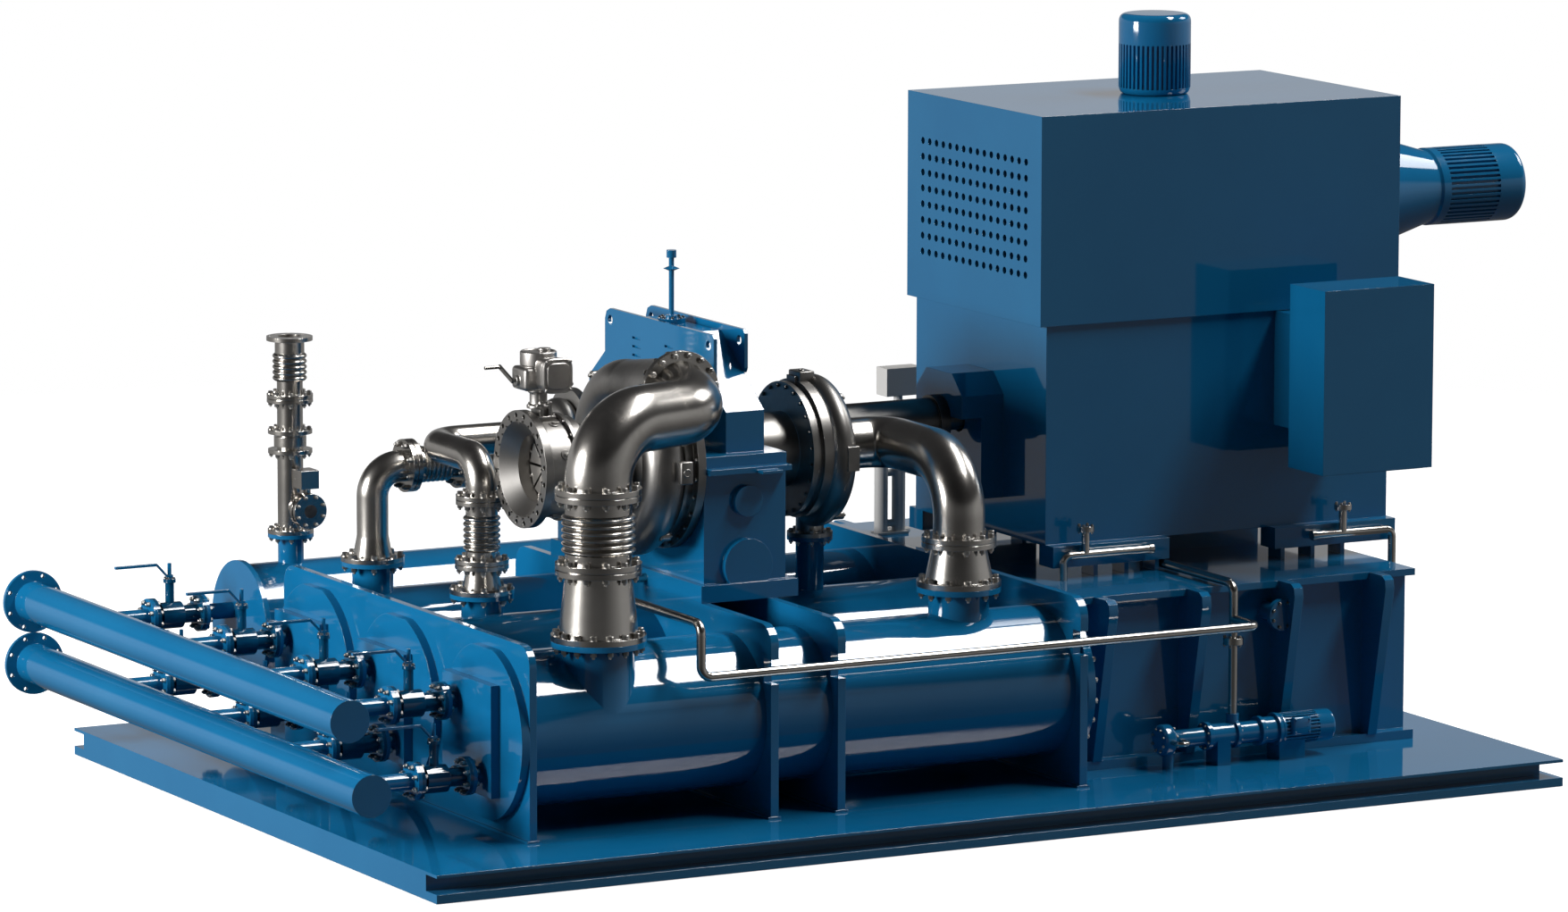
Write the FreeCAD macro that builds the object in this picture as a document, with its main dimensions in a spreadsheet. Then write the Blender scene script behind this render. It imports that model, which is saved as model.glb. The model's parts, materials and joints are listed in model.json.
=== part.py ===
# Two-pinion, three-stage steam compressor on a skid, with its coolers, drive motor and oil system.
# Millimetres. X runs along the skid from the water headers to the motor, Y points to the rear,
# Z is up, and the origin is the centre of the skid's underside.
import FreeCAD
import Part
import Sketcher
import math
import os

doc = FreeCAD.newDocument("steam_compressor")

# Driving sizes. Heights are above the skid's underside, positions are from its centre.
sizes = {
    # skid
    "skid_length": 6660,
    "skid_width": 4500,
    "skid_height": 145,
    "deck_plate": 16,
    "bottom_flange": 46,
    "side_inset": 125,
    "end_inset": 67,
    # cooler plates
    "plate_front": -1750,
    "plate_rear": 1190,
    "plate_top": 1150,
    "plate_corner": 110,
    "end_plate_face": -2565,
    "end_plate_thick": 40,
    "saddle_thick": 45,
    "saddle_one": -1186,
    "saddle_two": -796,
    "saddle_three": 644,
    "foot_pad_height": 12,
    "foot_pad_spread": 15,
    "notch_low": 845,
    "notch_high": 975,
    "notch_depth": 80,
    "seat_gap": 0.3,
    # coolers
    "cooler_radius": 400,
    "cooler_wall": 12,
    "cooler_height": 650,
    "cooler_front": -1300,
    "cooler_pitch": 1020,
    "cooler_end": 700,
    "cover_radius": 440,
    "cover_thick": 45,
    "bundle_bore": 335,
    # rear vessel
    "vessel_radius": 330,
    "vessel_side": 1800,
    "vessel_height": 715,
    "vessel_start": -2550,
    "vessel_end": 570,
    "vessel_cap_radius": 355,
    "vessel_cap_thick": 30,
    "vessel_saddle_one": -2230,
    "vessel_saddle_two": -745,
    "vessel_saddle_half": 300,
    # water boxes
    "box_disc_radius": 455,
    "box_disc_thick": 45,
    "box_disc_flat": 440,
    "box_depth": 50,
    "box_half_width": 282,
    "box_low": 341,
    "box_high": 922,
    "box_offset": 82,
    "box_wall": 25,
    "port_stagger": 144,
    # cooling water piping
    "header_x": -3395,
    "header_radius": 109.55,
    "header_bore": 101.5,
    "header_cap": 12,
    "upper_header_height": 785,
    "upper_header_front": -1390,
    "upper_header_rear": 2664,
    "lower_header_height": 445,
    "lower_header_front": -1640,
    "lower_header_rear": 2650,
    "header_flange_radius": 170,
    "header_flange_thick": 24,
    "header_bolt_circle": 295,
    "header_bolt_hole": 11,
    "branch_radius": 44.45,
    "branch_flange_radius": 100,
    "branch_flange_thick": 20,
    "joint_a": -3025,
    "joint_b": -2736,
    "rear_port_high": 1900,
    "rear_port_low": 1750,
    # lever valves
    "valve_stem_x": -2915,
    "valve_chamber_radius": 72,
    "valve_chamber_half": 62,
    "valve_neck_radius": 24,
    "valve_neck_top": 200,
    "valve_gland_radius": 34,
    "stem_radius": 11,
    "stem_depth": 60,
    "stem_top": 285,
    "shaft_play": 0.05,
    "lever_length": 318,
    "lever_crank": 60,
    "lever_rise": 66,
    "lever_half_width": 11,
    "lever_thick": 14,
    # gearbox
    "case_left": -1150,
    "case_right": -670,
    "case_front": -940,
    "case_rear": 750,
    "split_height": 1850,
    "case_wall": 30,
    "foot_left": -1187,
    "foot_right": -618,
    "foot_front": -985,
    "foot_rear": 760,
    "foot_height": 92,
    "split_flange": 30,
    "upper_flange": 60,
    "lower_flange_front": -1010,
    "lower_flange_rear": 800,
    "upper_flange_front": -950,
    "upper_flange_rear": 785,
    "boss_x": -903,
    "boss_proud": 35,
    "small_boss_radius": 82,
    "small_boss_height": 1668,
    "large_boss_radius": 140,
    "large_boss_height": 1329,
    "pinion_offset": 510,
    "bearing_block": 110,
    "bearing_block_half": 125,
    "roof_left": -985,
    "roof_right": -760,
    "roof_wall": 20,
    "roof_top": 2485,
    "roof_front": -390,
    "nose_front": -870,
    "nose_top": 2125,
    "roof_rear": 250,
    "nose_rear": 700,
    "side_plate": 20,
    "side_plate_top": 2518,
    "left_plate_front": -773,
    "left_plate_low": 2190,
    "right_plate_front": -651,
    "right_plate_low": 2315,
    "side_plate_rear": 474,
    "lifting_hole": 26,
    "louvre_height": 12,
    "side_boss_radius": 120,
    "roof_cover_radius": 150,
    "roof_cover_thick": 30,
    "breather_x": -897,
    "breather_radius": 14,
    "breather_top": 2875,
    # rotors
    "gear_left": -950,
    "gear_right": -800,
    "gear_teeth": 60,
    "pinion_teeth": 10,
    "gear_backlash": 3.0,
    "main_shaft_radius": 60,
    "pinion_shaft_radius": 40,
    "main_bearing_radius": 92,
    "pinion_bearing_radius": 66,
    "coupling_plane": 50,
    "coupling_radius": 95,
    "coupling_length": 130,
    # compressor stages
    "stage_one_plane": -1358,
    "stage_two_plane": -281,
    "stage_three_plane": -1270,
    "stage_one_impeller": 215,
    "stage_two_impeller": 185,
    "stage_three_impeller": 92,
    "scroll_one_ring": 400,
    "discharge_one_height": 2277,
    "discharge_one_face": -1051,
    "scroll_two_ring": 343,
    "scroll_three_ring": 148,
    "discharge_three_face": -1745,
    "impeller_gap": 3,
    "impeller_blades": 10,
    # inlet guide vanes
    "inlet_face": -2000,
    "inlet_flange_thick": 45,
    "inlet_flange_radius": 307.5,
    "inlet_bolt_circle": 565,
    "inlet_bolt_hole": 13,
    "inlet_bore": 250,
    "throat_bore": 172,
    "barrel_radius": 260,
    "barrel_end": -1721,
    "neck_radius": 215,
    "vane_plane": -1856,
    "vane_count": 8,
    "vane_stem": 8,
    "vane_tip": 22,
    "vane_root": 160,
    "vane_half": 58,
    "vane_thick": 6,
    "actuator_x": -1893,
    "actuator_top": 2465,
    "crank_height": 2316,
    "crank_reach": 150,
    # motor
    "motor_left": 1026,
    "motor_right": 3169,
    "motor_half": 711,
    "motor_bottom": 1245,
    "motor_top": 2429,
    "hood_left": 977,
    "hood_right": 3217,
    "hood_half": 731,
    "hood_top": 3554,
    "hood_wall": 30,
    "motor_foot_bottom": 1135,
    "motor_foot_front": 790,
    "motor_foot_back": 640,
    "drive_end_left": 770,
    "drive_end_half": 252,
    "drive_end_low": 1885,
    "drive_end_top": 2120,
    "drive_end_chamfer": 112,
    "rotor_radius": 290,
    "rotor_gap": 10,
    "rotor_left": 1400,
    "rotor_right": 2700,
    "guard_radius": 125,
    "guard_wall": 6,
    "guard_ring": 140,
    # junction box
    "junction_left": 2335,
    "junction_right": 3020,
    "junction_front": -1400,
    "junction_back": -1045,
    "junction_low": 1625,
    "junction_high": 2617,
    "junction_gland": 12,
    # hood fans
    "panel_hole": 19,
    "panel_first": -565,
    "panel_pitch": 75,
    "panel_low": 2690,
    "panel_rise": 86.5,
    "panel_columns": 16,
    "panel_rows": 8,
    "top_fan_x": 2100,
    "top_fan_radius": 196,
    "top_fan_height": 436,
    "end_fan_height": 2945,
    "end_fan_radius": 215,
    "end_fan_cone": 610,
    "end_fan_motor": 563,
    "end_fan_cone_radius": 385,
    "fan_shaft_radius": 25,
    # support frame
    "tank_left": 870,
    "tank_right": 2930,
    "tank_half": 1290,
    "deck_low": 1038,
    "deck_high": 1075,
    "deck_half": 1363,
    "deck_right": 2947,
    "base_thick": 50,
    "rib_thick": 55,
    "rib_nose": 1530,
    "rib_toe": 1370,
    "rib_first": 973,
    "rib_pitch": 570,
    "rib_count": 4,
    "post_first_left": 1300,
    "post_first_right": 2470,
    "post_pitch": 190,
    "hatch_x": 2061,
    "hatch_height": 905,
    "hatch_radius": 85,
    "hatch_proud": 170,
    # oil system
    "oil_pipe_radius": 24,
    "riser_radius": 22,
    "riser_line": -830,
    "pump_line": -1500,
    "pump_height": 300,
    "oil_rise_x": 1725,
    "long_run_line": -1750,
    "long_run_height": 917,
}

sheet = doc.addObject("Spreadsheet::Sheet", "Sizes")
for row, (name, value) in enumerate(sizes.items(), start=1):
    sheet.set("A" + str(row), name)
    sheet.set("B" + str(row), str(value))
    sheet.setAlias("B" + str(row), name)
doc.recompute()


class Size:
    """A number together with the sheet expression that gives it."""

    def __init__(self, value, text=None):
        self.value = float(value)
        self.text = repr(self.value) if text is None else text

    def combined(self, other, sign, value):
        return Size(value, "(" + self.text + " " + sign + " " + other.text + ")")

    def __add__(self, other):
        other = sized(other)
        return self.combined(other, "+", self.value + other.value)

    def __radd__(self, other):
        return sized(other) + self

    def __sub__(self, other):
        other = sized(other)
        return self.combined(other, "-", self.value - other.value)

    def __rsub__(self, other):
        return sized(other) - self

    def __mul__(self, other):
        other = sized(other)
        return self.combined(other, "*", self.value * other.value)

    def __rmul__(self, other):
        return sized(other) * self

    def __truediv__(self, other):
        other = sized(other)
        return self.combined(other, "/", self.value / other.value)

    def __neg__(self):
        return Size(-self.value, "(0 - " + self.text + ")")

    def __float__(self):
        return self.value


def sized(number):
    """A plain number as a Size; a Size as it is."""
    return number if isinstance(number, Size) else Size(number)


class Sheet:
    """The sheet's sizes by name."""

    def __getattr__(self, name):
        return Size(sheet.get(name), "Sizes." + name)


s = Sheet()
nodes = []

AXIS_TURN = {
    "x": FreeCAD.Rotation(FreeCAD.Vector(0, 1, 0), 90),
    "y": FreeCAD.Rotation(FreeCAD.Vector(1, 0, 0), -90),
    "z": FreeCAD.Rotation(),
}


def vec(x, y, z):
    """A point or direction from numbers or sizes."""
    return FreeCAD.Vector(float(x), float(y), float(z))


def bind(item, prop, number):
    """Ties one property to the sheet where its size comes from there."""
    number = sized(number)
    if "Sizes." in number.text:
        item.setExpression(prop, number.text)


def put(item, x, y, z, axis="z"):
    """Places an item, with its own Z axis along the named axis."""
    item.Placement = FreeCAD.Placement(vec(x, y, z), AXIS_TURN[axis])
    bind(item, "Placement.Base.x", x)
    bind(item, "Placement.Base.y", y)
    bind(item, "Placement.Base.z", z)


def measure(item, **lengths):
    """Sets lengths of a primitive and ties them to the sheet."""
    for prop, number in lengths.items():
        setattr(item, prop, float(number))
        bind(item, prop, number)


def box(x, y, z):
    """A block between two limits along each axis."""
    item = doc.addObject("Part::Box", "Block")
    x, y, z = [[sized(limit) for limit in pair] for pair in (x, y, z)]
    measure(item, Length=x[1] - x[0], Width=y[1] - y[0], Height=z[1] - z[0])
    put(item, x[0], y[0], z[0])
    return item


def rod(axis, x, y, z, length, radius):
    """A cylinder that starts at a point and runs along an axis."""
    item = doc.addObject("Part::Cylinder", "Rod")
    measure(item, Radius=radius, Height=length)
    put(item, x, y, z, axis)
    return item


def cone(axis, x, y, z, length, start_radius, end_radius):
    """A cone frustum that starts at a point and runs along an axis."""
    item = doc.addObject("Part::Cone", "Cone")
    measure(item, Radius1=start_radius, Radius2=end_radius, Height=length)
    put(item, x, y, z, axis)
    return item


def join(*items):
    """The union of several items."""
    item = doc.addObject("Part::MultiFuse", "Joined")
    item.Shapes = list(items)
    item.Refine = True
    return item


def cut(base, *tools):
    """An item less one or more others."""
    item = doc.addObject("Part::Cut", "Cut")
    item.Base = base
    item.Tool = tools[0] if len(tools) == 1 else join(*tools)
    item.Refine = True
    return item


def group(*items):
    """Several separate solids as one item."""
    item = doc.addObject("Part::Compound", "Group")
    item.Links = list(items)
    return item


def feature(shape):
    """A shape that is computed here from the sheet's sizes."""
    place = shape.Placement
    item = doc.addObject("Part::Feature", "Form")
    item.Shape = shape
    item.Placement = place
    return item


def node(item, label):
    """Names a finished sub-part."""
    item.Label = label
    nodes.append(item)
    return item


def ring_of(count, radius, make):
    """Items from make(u, v), evenly spaced round a circle of the given radius."""
    items = []
    for step in range(count):
        angle = 2 * math.pi * (step + 0.5) / count
        items.append(make(radius * math.cos(angle), radius * math.sin(angle)))
    return items


def turned(profile, axis, x, y, z):
    """A revolved solid: profile points are (along the axis, radius) from the given point."""
    points = [FreeCAD.Vector(float(along), float(radius), 0) for along, radius in profile]
    wire = Part.makePolygon(points + [points[0]])
    solid = Part.Face(wire).revolve(FreeCAD.Vector(), FreeCAD.Vector(1, 0, 0), 360)
    turn = {
        "x": FreeCAD.Rotation(),
        "y": FreeCAD.Rotation(FreeCAD.Vector(0, 0, 1), 90),
        "z": FreeCAD.Rotation(FreeCAD.Vector(0, 1, 0), -90),
    }[axis]
    solid.Placement = FreeCAD.Placement(vec(x, y, z), turn)
    return solid


def pipe(points, radius, bend):
    """A round bar along straight runs joined by tangent bends."""
    points = [vec(*point) for point in points]
    radius = float(radius)
    bends = [0.0] + [float(value) for value in bend] + [0.0] if isinstance(bend, list) else [float(bend)] * len(points)
    pieces = []
    start = points[0]
    for index in range(1, len(points) - 1):
        corner = points[index]
        back = (points[index - 1] - corner).normalize()
        ahead = (points[index + 1] - corner).normalize()
        half = back.getAngle(ahead) / 2
        reach = bends[index] / math.tan(half)
        first = corner + back * reach
        run = first - start
        pieces.append(Part.makeCylinder(radius, run.Length, start, run))
        centre = corner + (back + ahead).normalize() * (bends[index] / math.sin(half))
        ring = Part.Face(Part.Wire(Part.makeCircle(radius, first, back)))
        turn_axis = ahead.cross(back)
        pieces.append(ring.revolve(centre, turn_axis, 180 - math.degrees(2 * half)))
        start = corner + ahead * reach
    run = points[-1] - start
    pieces.append(Part.makeCylinder(radius, run.Length, start, run))
    if len(pieces) == 1:
        return pieces[0]
    solid = pieces[0].fuse(pieces[1:])
    if len(solid.Solids) != 1:
        raise RuntimeError("a pipe came apart")
    return solid


def prism(outline, axis, start, length):
    """A solid extruded along X, Y or Z from an outline in the other two axes, in their order."""
    order = {"x": (2, 0, 1), "y": (0, 2, 1), "z": (0, 1, 2)}[axis]
    points = []
    for u, v in outline:
        triple = (float(u), float(v), float(start))
        points.append(FreeCAD.Vector(*[triple[order[k]] for k in range(3)]))
    direction = {"x": vec(length, 0, 0), "y": vec(0, length, 0), "z": vec(0, 0, length)}[axis]
    return Part.Face(Part.makePolygon(points + [points[0]])).extrude(direction)


def flange(axis, x, y, z, radius, thick):
    """A plain flange disc centred on a point."""
    half = sized(thick) / 2
    shift = {"x": (half, 0, 0), "y": (0, half, 0), "z": (0, 0, half)}[axis]
    return rod(axis, sized(x) - shift[0], sized(y) - shift[1], sized(z) - shift[2], thick, radius)


def flange_pair(axis, x, y, z, radius, thick):
    """Two flanges with a narrow groove between them, centred on a point."""
    face = (sized(thick) - 6) / 2
    shift = {"x": (1, 0, 0), "y": (0, 1, 0), "z": (0, 0, 1)}[axis]
    discs = []
    for side in (-1, 1):
        offset = (face / 2 + 3) * side
        discs.append(
            flange(
                axis, sized(x) + offset * shift[0], sized(y) + offset * shift[1],
                sized(z) + offset * shift[2], radius, face,
            )
        )
    return discs + [flange(axis, x, y, z, sized(radius) - 14, 8)]


def bellows(axis, x, y, z, length, radius, depth, count):
    """Profile solid of a bellows: round convolutions between a crest and a root radius."""
    step = float(length) / count
    root = float(radius) - float(depth)
    profile = [(0, 0), (0, root)]
    for index in range(count):
        for part in range(1, 7):
            rise = float(depth) * math.sin(math.pi * part / 6)
            profile.append(((index + part / 6) * step, root + rise))
    profile.append((float(length), 0))
    return turned(profile, axis, x, y, z)


# Skid: a closed box with a deck plate above and a wide flange round its foot.
skid = join(
    box((-s.skid_length / 2, s.skid_length / 2), (-s.skid_width / 2, s.skid_width / 2), (0, s.bottom_flange)),
    box(
        (-s.skid_length / 2, s.skid_length / 2 - s.end_inset),
        (s.side_inset - s.skid_width / 2, s.skid_width / 2 - s.side_inset),
        (s.bottom_flange / 2, s.skid_height - s.deck_plate / 2),
    ),
    box(
        (-s.skid_length / 2, s.skid_length / 2),
        (-s.skid_width / 2, s.skid_width / 2),
        (s.skid_height - s.deck_plate, s.skid_height),
    ),
)
node(skid, "skid_base")


# Cooler plates: the end plate that carries the water boxes and three saddle plates, each padded out
# as a body with its outline and openings drawn in the plane across the skid.
def origin_plane(body, role):
    """One of a body's own origin planes."""
    return [part for part in body.Origin.OriginFeatures if part.Role == role][0]


def drawn_outline(sketch, outline):
    """Closed outline of lines, each corner tied to the sheet."""
    count = len(outline)
    for index in range(count):
        first = outline[index]
        second = outline[(index + 1) % count]
        sketch.addGeometry(Part.LineSegment(vec(*first, 0), vec(*second, 0)), False)
    for index in range(count):
        sketch.addConstraint(Sketcher.Constraint("Coincident", index, 2, (index + 1) % count, 1))
    for index, corner in enumerate(outline):
        pin_point(sketch, index, 1, corner)


def pin_point(sketch, geometry, place, corner):
    """Holds a sketch point at its distances from the origin, each bound to the sheet."""
    for kind, number in zip(("DistanceX", "DistanceY"), corner):
        number = sized(number)
        if abs(number.value) < 1e-9:
            on_axis = -2 if kind == "DistanceX" else -1
            sketch.addConstraint(Sketcher.Constraint("PointOnObject", geometry, place, on_axis))
            continue
        if number.value > 0:
            rule = Sketcher.Constraint(kind, -1, 1, geometry, place, number.value)
        else:
            rule = Sketcher.Constraint(kind, geometry, place, -1, 1, -number.value)
            number = -number
        position = sketch.addConstraint(rule)
        bind(sketch, "Constraints[" + str(position) + "]", number)


def drawn_circle(sketch, centre, radius):
    """A circle whose centre and radius are tied to the sheet."""
    circle = Part.Circle(vec(*centre, 0), FreeCAD.Vector(0, 0, 1), float(radius))
    geometry = sketch.addGeometry(circle, False)
    pin_point(sketch, geometry, 3, centre)
    position = sketch.addConstraint(Sketcher.Constraint("Radius", geometry, float(radius)))
    bind(sketch, "Constraints[" + str(position) + "]", radius)


def cooler_plate(name, left, thick, bore, notched):
    """One cooler plate: pad, bores for the shells, rounded top corners and a foot pad."""
    body = doc.addObject("PartDesign::Body", name)
    sketch = body.newObject("Sketcher::SketchObject", name + "_outline")
    sketch.AttachmentSupport = [(origin_plane(body, "YZ_Plane"), "")]
    sketch.MapMode = "FlatFace"
    front = s.plate_front
    low = s.skid_height
    top = s.plate_top
    rear = s.plate_rear
    if notched:
        back = front + s.notch_depth
        outline = [(front, low), (rear, low), (rear, top), (front, top)]
        outline += [(front, s.notch_high), (back, s.notch_high), (back, s.notch_low), (front, s.notch_low)]
    else:
        outline = [(front, low), (rear, low), (rear, top), (front, top)]
    drawn_outline(sketch, outline)
    pad = body.newObject("PartDesign::Pad", name + "_plate")
    pad.Profile = sketch
    pad.Length = float(thick)
    bind(pad, "Length", thick)
    doc.recompute()
    solid_volume = pad.Shape.Volume
    holes = body.newObject("Sketcher::SketchObject", name + "_bores")
    holes.AttachmentSupport = [(origin_plane(body, "YZ_Plane"), "")]
    holes.MapMode = "FlatFace"
    for number in range(3):
        drawn_circle(holes, (s.cooler_front + s.cooler_pitch * number, s.cooler_height), bore)
    pocket = body.newObject("PartDesign::Pocket", name + "_openings")
    pocket.Profile = holes
    pocket.Type = 1
    pocket.Midplane = True
    doc.recompute()
    if pocket.Shape.Volume > solid_volume - 1:
        raise RuntimeError(name + " bores cut nothing")
    corners = []
    for index, edge in enumerate(pocket.Shape.Edges, start=1):
        bounds = edge.BoundBox
        at_top = abs(bounds.ZMin - top.value) < 0.01 and abs(bounds.ZMax - top.value) < 0.01
        if at_top and bounds.YLength < 0.01 and bounds.XLength > 1:
            corners.append("Edge" + str(index))
    rounds = body.newObject("PartDesign::Fillet", name + "_corners")
    rounds.Base = (pocket, corners)
    rounds.Radius = s.plate_corner.value
    bind(rounds, "Radius", s.plate_corner)
    body.Tip = rounds
    put(body, left, 0, 0)
    doc.recompute()
    spread = s.foot_pad_spread
    pad_box = box((left - spread, left + thick + spread), (front - 2, rear + 2), (low, low + s.foot_pad_height))
    return join(body, pad_box)


cooler_plates = [
    cooler_plate("EndPlate", s.end_plate_face, s.end_plate_thick, s.bundle_bore, False),
    cooler_plate("SaddleOne", s.saddle_one, s.saddle_thick, s.cooler_radius + s.seat_gap, True),
    cooler_plate("SaddleTwo", s.saddle_two, s.saddle_thick, s.cooler_radius + s.seat_gap, True),
    cooler_plate("SaddleThree", s.saddle_three, s.saddle_thick, s.cooler_radius + s.seat_gap, True),
]
for start in (s.vessel_saddle_one, s.vessel_saddle_two):
    blank = join(
        box(
            (start, start + 30),
            (s.vessel_side - s.vessel_saddle_half, s.vessel_side + s.vessel_saddle_half),
            (s.skid_height, s.vessel_height),
        ),
        box(
            (start - 60, start + 90),
            (s.vessel_side - s.vessel_saddle_half, s.vessel_side + s.vessel_saddle_half),
            (s.skid_height, s.skid_height + s.foot_pad_height),
        ),
    )
    bore = rod("x", start - 5, s.vessel_side, s.vessel_height, 40, s.vessel_radius + s.seat_gap)
    cooler_plates.append(cut(blank, bore))
node(group(*cooler_plates), "cooler_plates")


# Cooler shells: a can open at the end plate, with a bolted rear cover and flanged nozzles on top.
def nozzle(x, y, start, top, radius, flange_radius, thick):
    """A vertical nozzle with its flange on top."""
    return [
        rod("z", x, y, start, top - start, radius),
        rod("z", x, y, top - thick, thick, flange_radius),
    ]


def shell(side, height, left, right, radius, wall, cover_radius, cover_thick, nozzles):
    """A horizontal vessel with nozzles given as (x, y, top, radius, flange radius, thickness)."""
    left = sized(left)
    right = sized(right)
    outer = [
        rod("x", left, side, height, right - left, radius),
        rod("x", right, side, height, cover_thick, cover_radius),
    ]
    inner = [rod("x", left - 1, side, height, right - left - 4, radius - wall)]
    for x, y, top, pipe_radius, flange_radius, thick in nozzles:
        outer += nozzle(x, y, height, sized(top), pipe_radius, flange_radius, thick)
        inner.append(rod("z", x, y, height, sized(top) + 1 - height, sized(pipe_radius) - 10))
    return cut(join(*outer), *inner)


shell_start = s.end_plate_face + s.end_plate_thick
cooler_sides = [s.cooler_front + s.cooler_pitch * number for number in range(3)]

# Flanged joints of the process piping: (x, y, height of the joint face, pipe radius, flange radius).
discharge_one = (-2048, -1500, 1113, 185, 245, 30)
suction_two = (166, cooler_sides[0], 1191, 160, 222, 30)
suction_three = (-2031, cooler_sides[1] + 159, 1146, 109.55, 170, 24)
discharge_two = (-170, cooler_sides[1], 1335, 75, 122, 22)
discharge_three = (-2253, cooler_sides[2], 1208, 109.55, 170, 24)
vent = (-2240, s.vessel_side, 1202, 70, 125, 22)

node(
    shell(
        cooler_sides[0], s.cooler_height, shell_start, s.cooler_end, s.cooler_radius, s.cooler_wall,
        s.cover_radius, s.cover_thick, [discharge_one, suction_two],
    ),
    "cooler_shell_front",
)
node(
    shell(
        cooler_sides[1], s.cooler_height, shell_start, s.cooler_end, s.cooler_radius, s.cooler_wall,
        s.cover_radius, s.cover_thick, [suction_three, discharge_two],
    ),
    "cooler_shell_middle",
)
node(
    shell(
        cooler_sides[2], s.cooler_height, shell_start, s.cooler_end, s.cooler_radius, s.cooler_wall,
        s.cover_radius, s.cover_thick, [discharge_three],
    ),
    "cooler_shell_rear",
)


def branch(start, end, y, z, at_end):
    """A water branch along X with half of a flange pair at one end."""
    start = sized(start)
    end = sized(end)
    face = end - s.branch_flange_thick if at_end else start
    return [
        rod("x", start, y, z, end - start, s.branch_radius),
        rod("x", face, y, z, s.branch_flange_thick, s.branch_flange_radius),
    ]


rear_vessel = join(
    shell(
        s.vessel_side, s.vessel_height, s.vessel_start + s.vessel_cap_thick, s.vessel_end,
        s.vessel_radius, s.cooler_wall, s.vessel_radius, s.vessel_cap_thick, [vent],
    ),
    rod("x", s.vessel_start, s.vessel_side, s.vessel_height, s.vessel_cap_thick, s.vessel_cap_radius),
    *branch(s.joint_b, s.vessel_start, s.rear_port_high, s.upper_header_height, False),
    *branch(s.joint_b, s.vessel_start, s.rear_port_low, s.lower_header_height, False),
)
node(rear_vessel, "aftercooler_shell")

# Tube bundles: a tube sheet in the end plate's bore, four tubes and two baffles.
bundles = []
for side in cooler_sides:
    pieces = [
        rod("x", s.end_plate_face + 1, side, s.cooler_height, s.end_plate_thick - 2, s.bundle_bore - 1),
        rod("x", -1500, side, s.cooler_height, 12, s.cooler_radius - s.cooler_wall - 2),
        rod("x", -300, side, s.cooler_height, 12, s.cooler_radius - s.cooler_wall - 2),
    ]
    for step in range(4):
        reach = 200
        angle = (step + 0.5) * math.pi / 2
        y = side + reach * math.cos(angle)
        z = s.cooler_height + reach * math.sin(angle)
        pieces.append(rod("x", s.end_plate_face + 20, y, z, 3100, 55))
    bundles.append(join(*pieces))
node(group(*bundles), "cooler_tube_bundles")

# Water boxes: a bolted disc with two flats, a raised box and two staggered ports.
water_boxes = []
ports = []
for side in cooler_sides:
    centre = side + s.box_offset
    disc = rod(
        "x", s.end_plate_face - s.box_disc_thick, side, s.cooler_height, s.box_disc_thick, s.box_disc_radius
    )
    for low in (s.cooler_height + s.box_disc_flat, s.cooler_height - s.box_disc_flat - 100):
        flat = box(
            (s.end_plate_face - s.box_disc_thick - 1, s.end_plate_face + 1),
            (side - 500, side + 500),
            (low, low + 100),
        )
        disc = cut(disc, flat)
    face = s.end_plate_face - s.box_disc_thick - s.box_depth
    raised = box(
        (face, s.end_plate_face - s.box_disc_thick),
        (centre - s.box_half_width, centre + s.box_half_width),
        (s.box_low, s.box_high),
    )
    hollow = box(
        (face + s.box_wall, s.end_plate_face),
        (centre - s.box_half_width + s.box_wall, centre + s.box_half_width - s.box_wall - 60),
        (s.box_low + s.box_wall + 20, s.box_high - s.box_wall),
    )
    high_port = centre + s.port_stagger
    low_port = centre - s.port_stagger
    ports.append((high_port, low_port))
    outer = join(
        disc,
        raised,
        *branch(s.joint_b, face, high_port, s.upper_header_height, False),
        *branch(s.joint_b, face, low_port, s.lower_header_height, False),
    )
    water_boxes.append(cut(outer, hollow))
node(group(*water_boxes), "waterboxes")
ports.append((s.rear_port_high, s.rear_port_low))


# Water headers: a capped tube with four branches and a bolted flange at the rear end.
def header(front, rear, z, branches):
    """One header with its branches."""
    outer = [
        rod("y", s.header_x, front, z, rear - front, s.header_radius),
        rod("y", s.header_x, rear - s.header_flange_thick, z, s.header_flange_thick, s.header_flange_radius),
    ]
    for y in branches:
        outer += branch(s.header_x, s.joint_a, y, z, True)
    holes = [rod("y", s.header_x, front + s.header_cap, z, rear - front, s.header_bore)]
    holes += ring_of(
        8,
        s.header_bolt_circle / 2,
        lambda u, v: rod(
            "y", s.header_x + u, rear - s.header_flange_thick - 5, z + v,
            s.header_flange_thick + 10, s.header_bolt_hole,
        ),
    )
    return cut(join(*outer), *holes)


node(
    header(s.upper_header_front, s.upper_header_rear, s.upper_header_height, [pair[0] for pair in ports]),
    "upper_water_header",
)
node(
    header(s.lower_header_front, s.lower_header_rear, s.lower_header_height, [pair[1] for pair in ports]),
    "lower_water_header",
)

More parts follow.
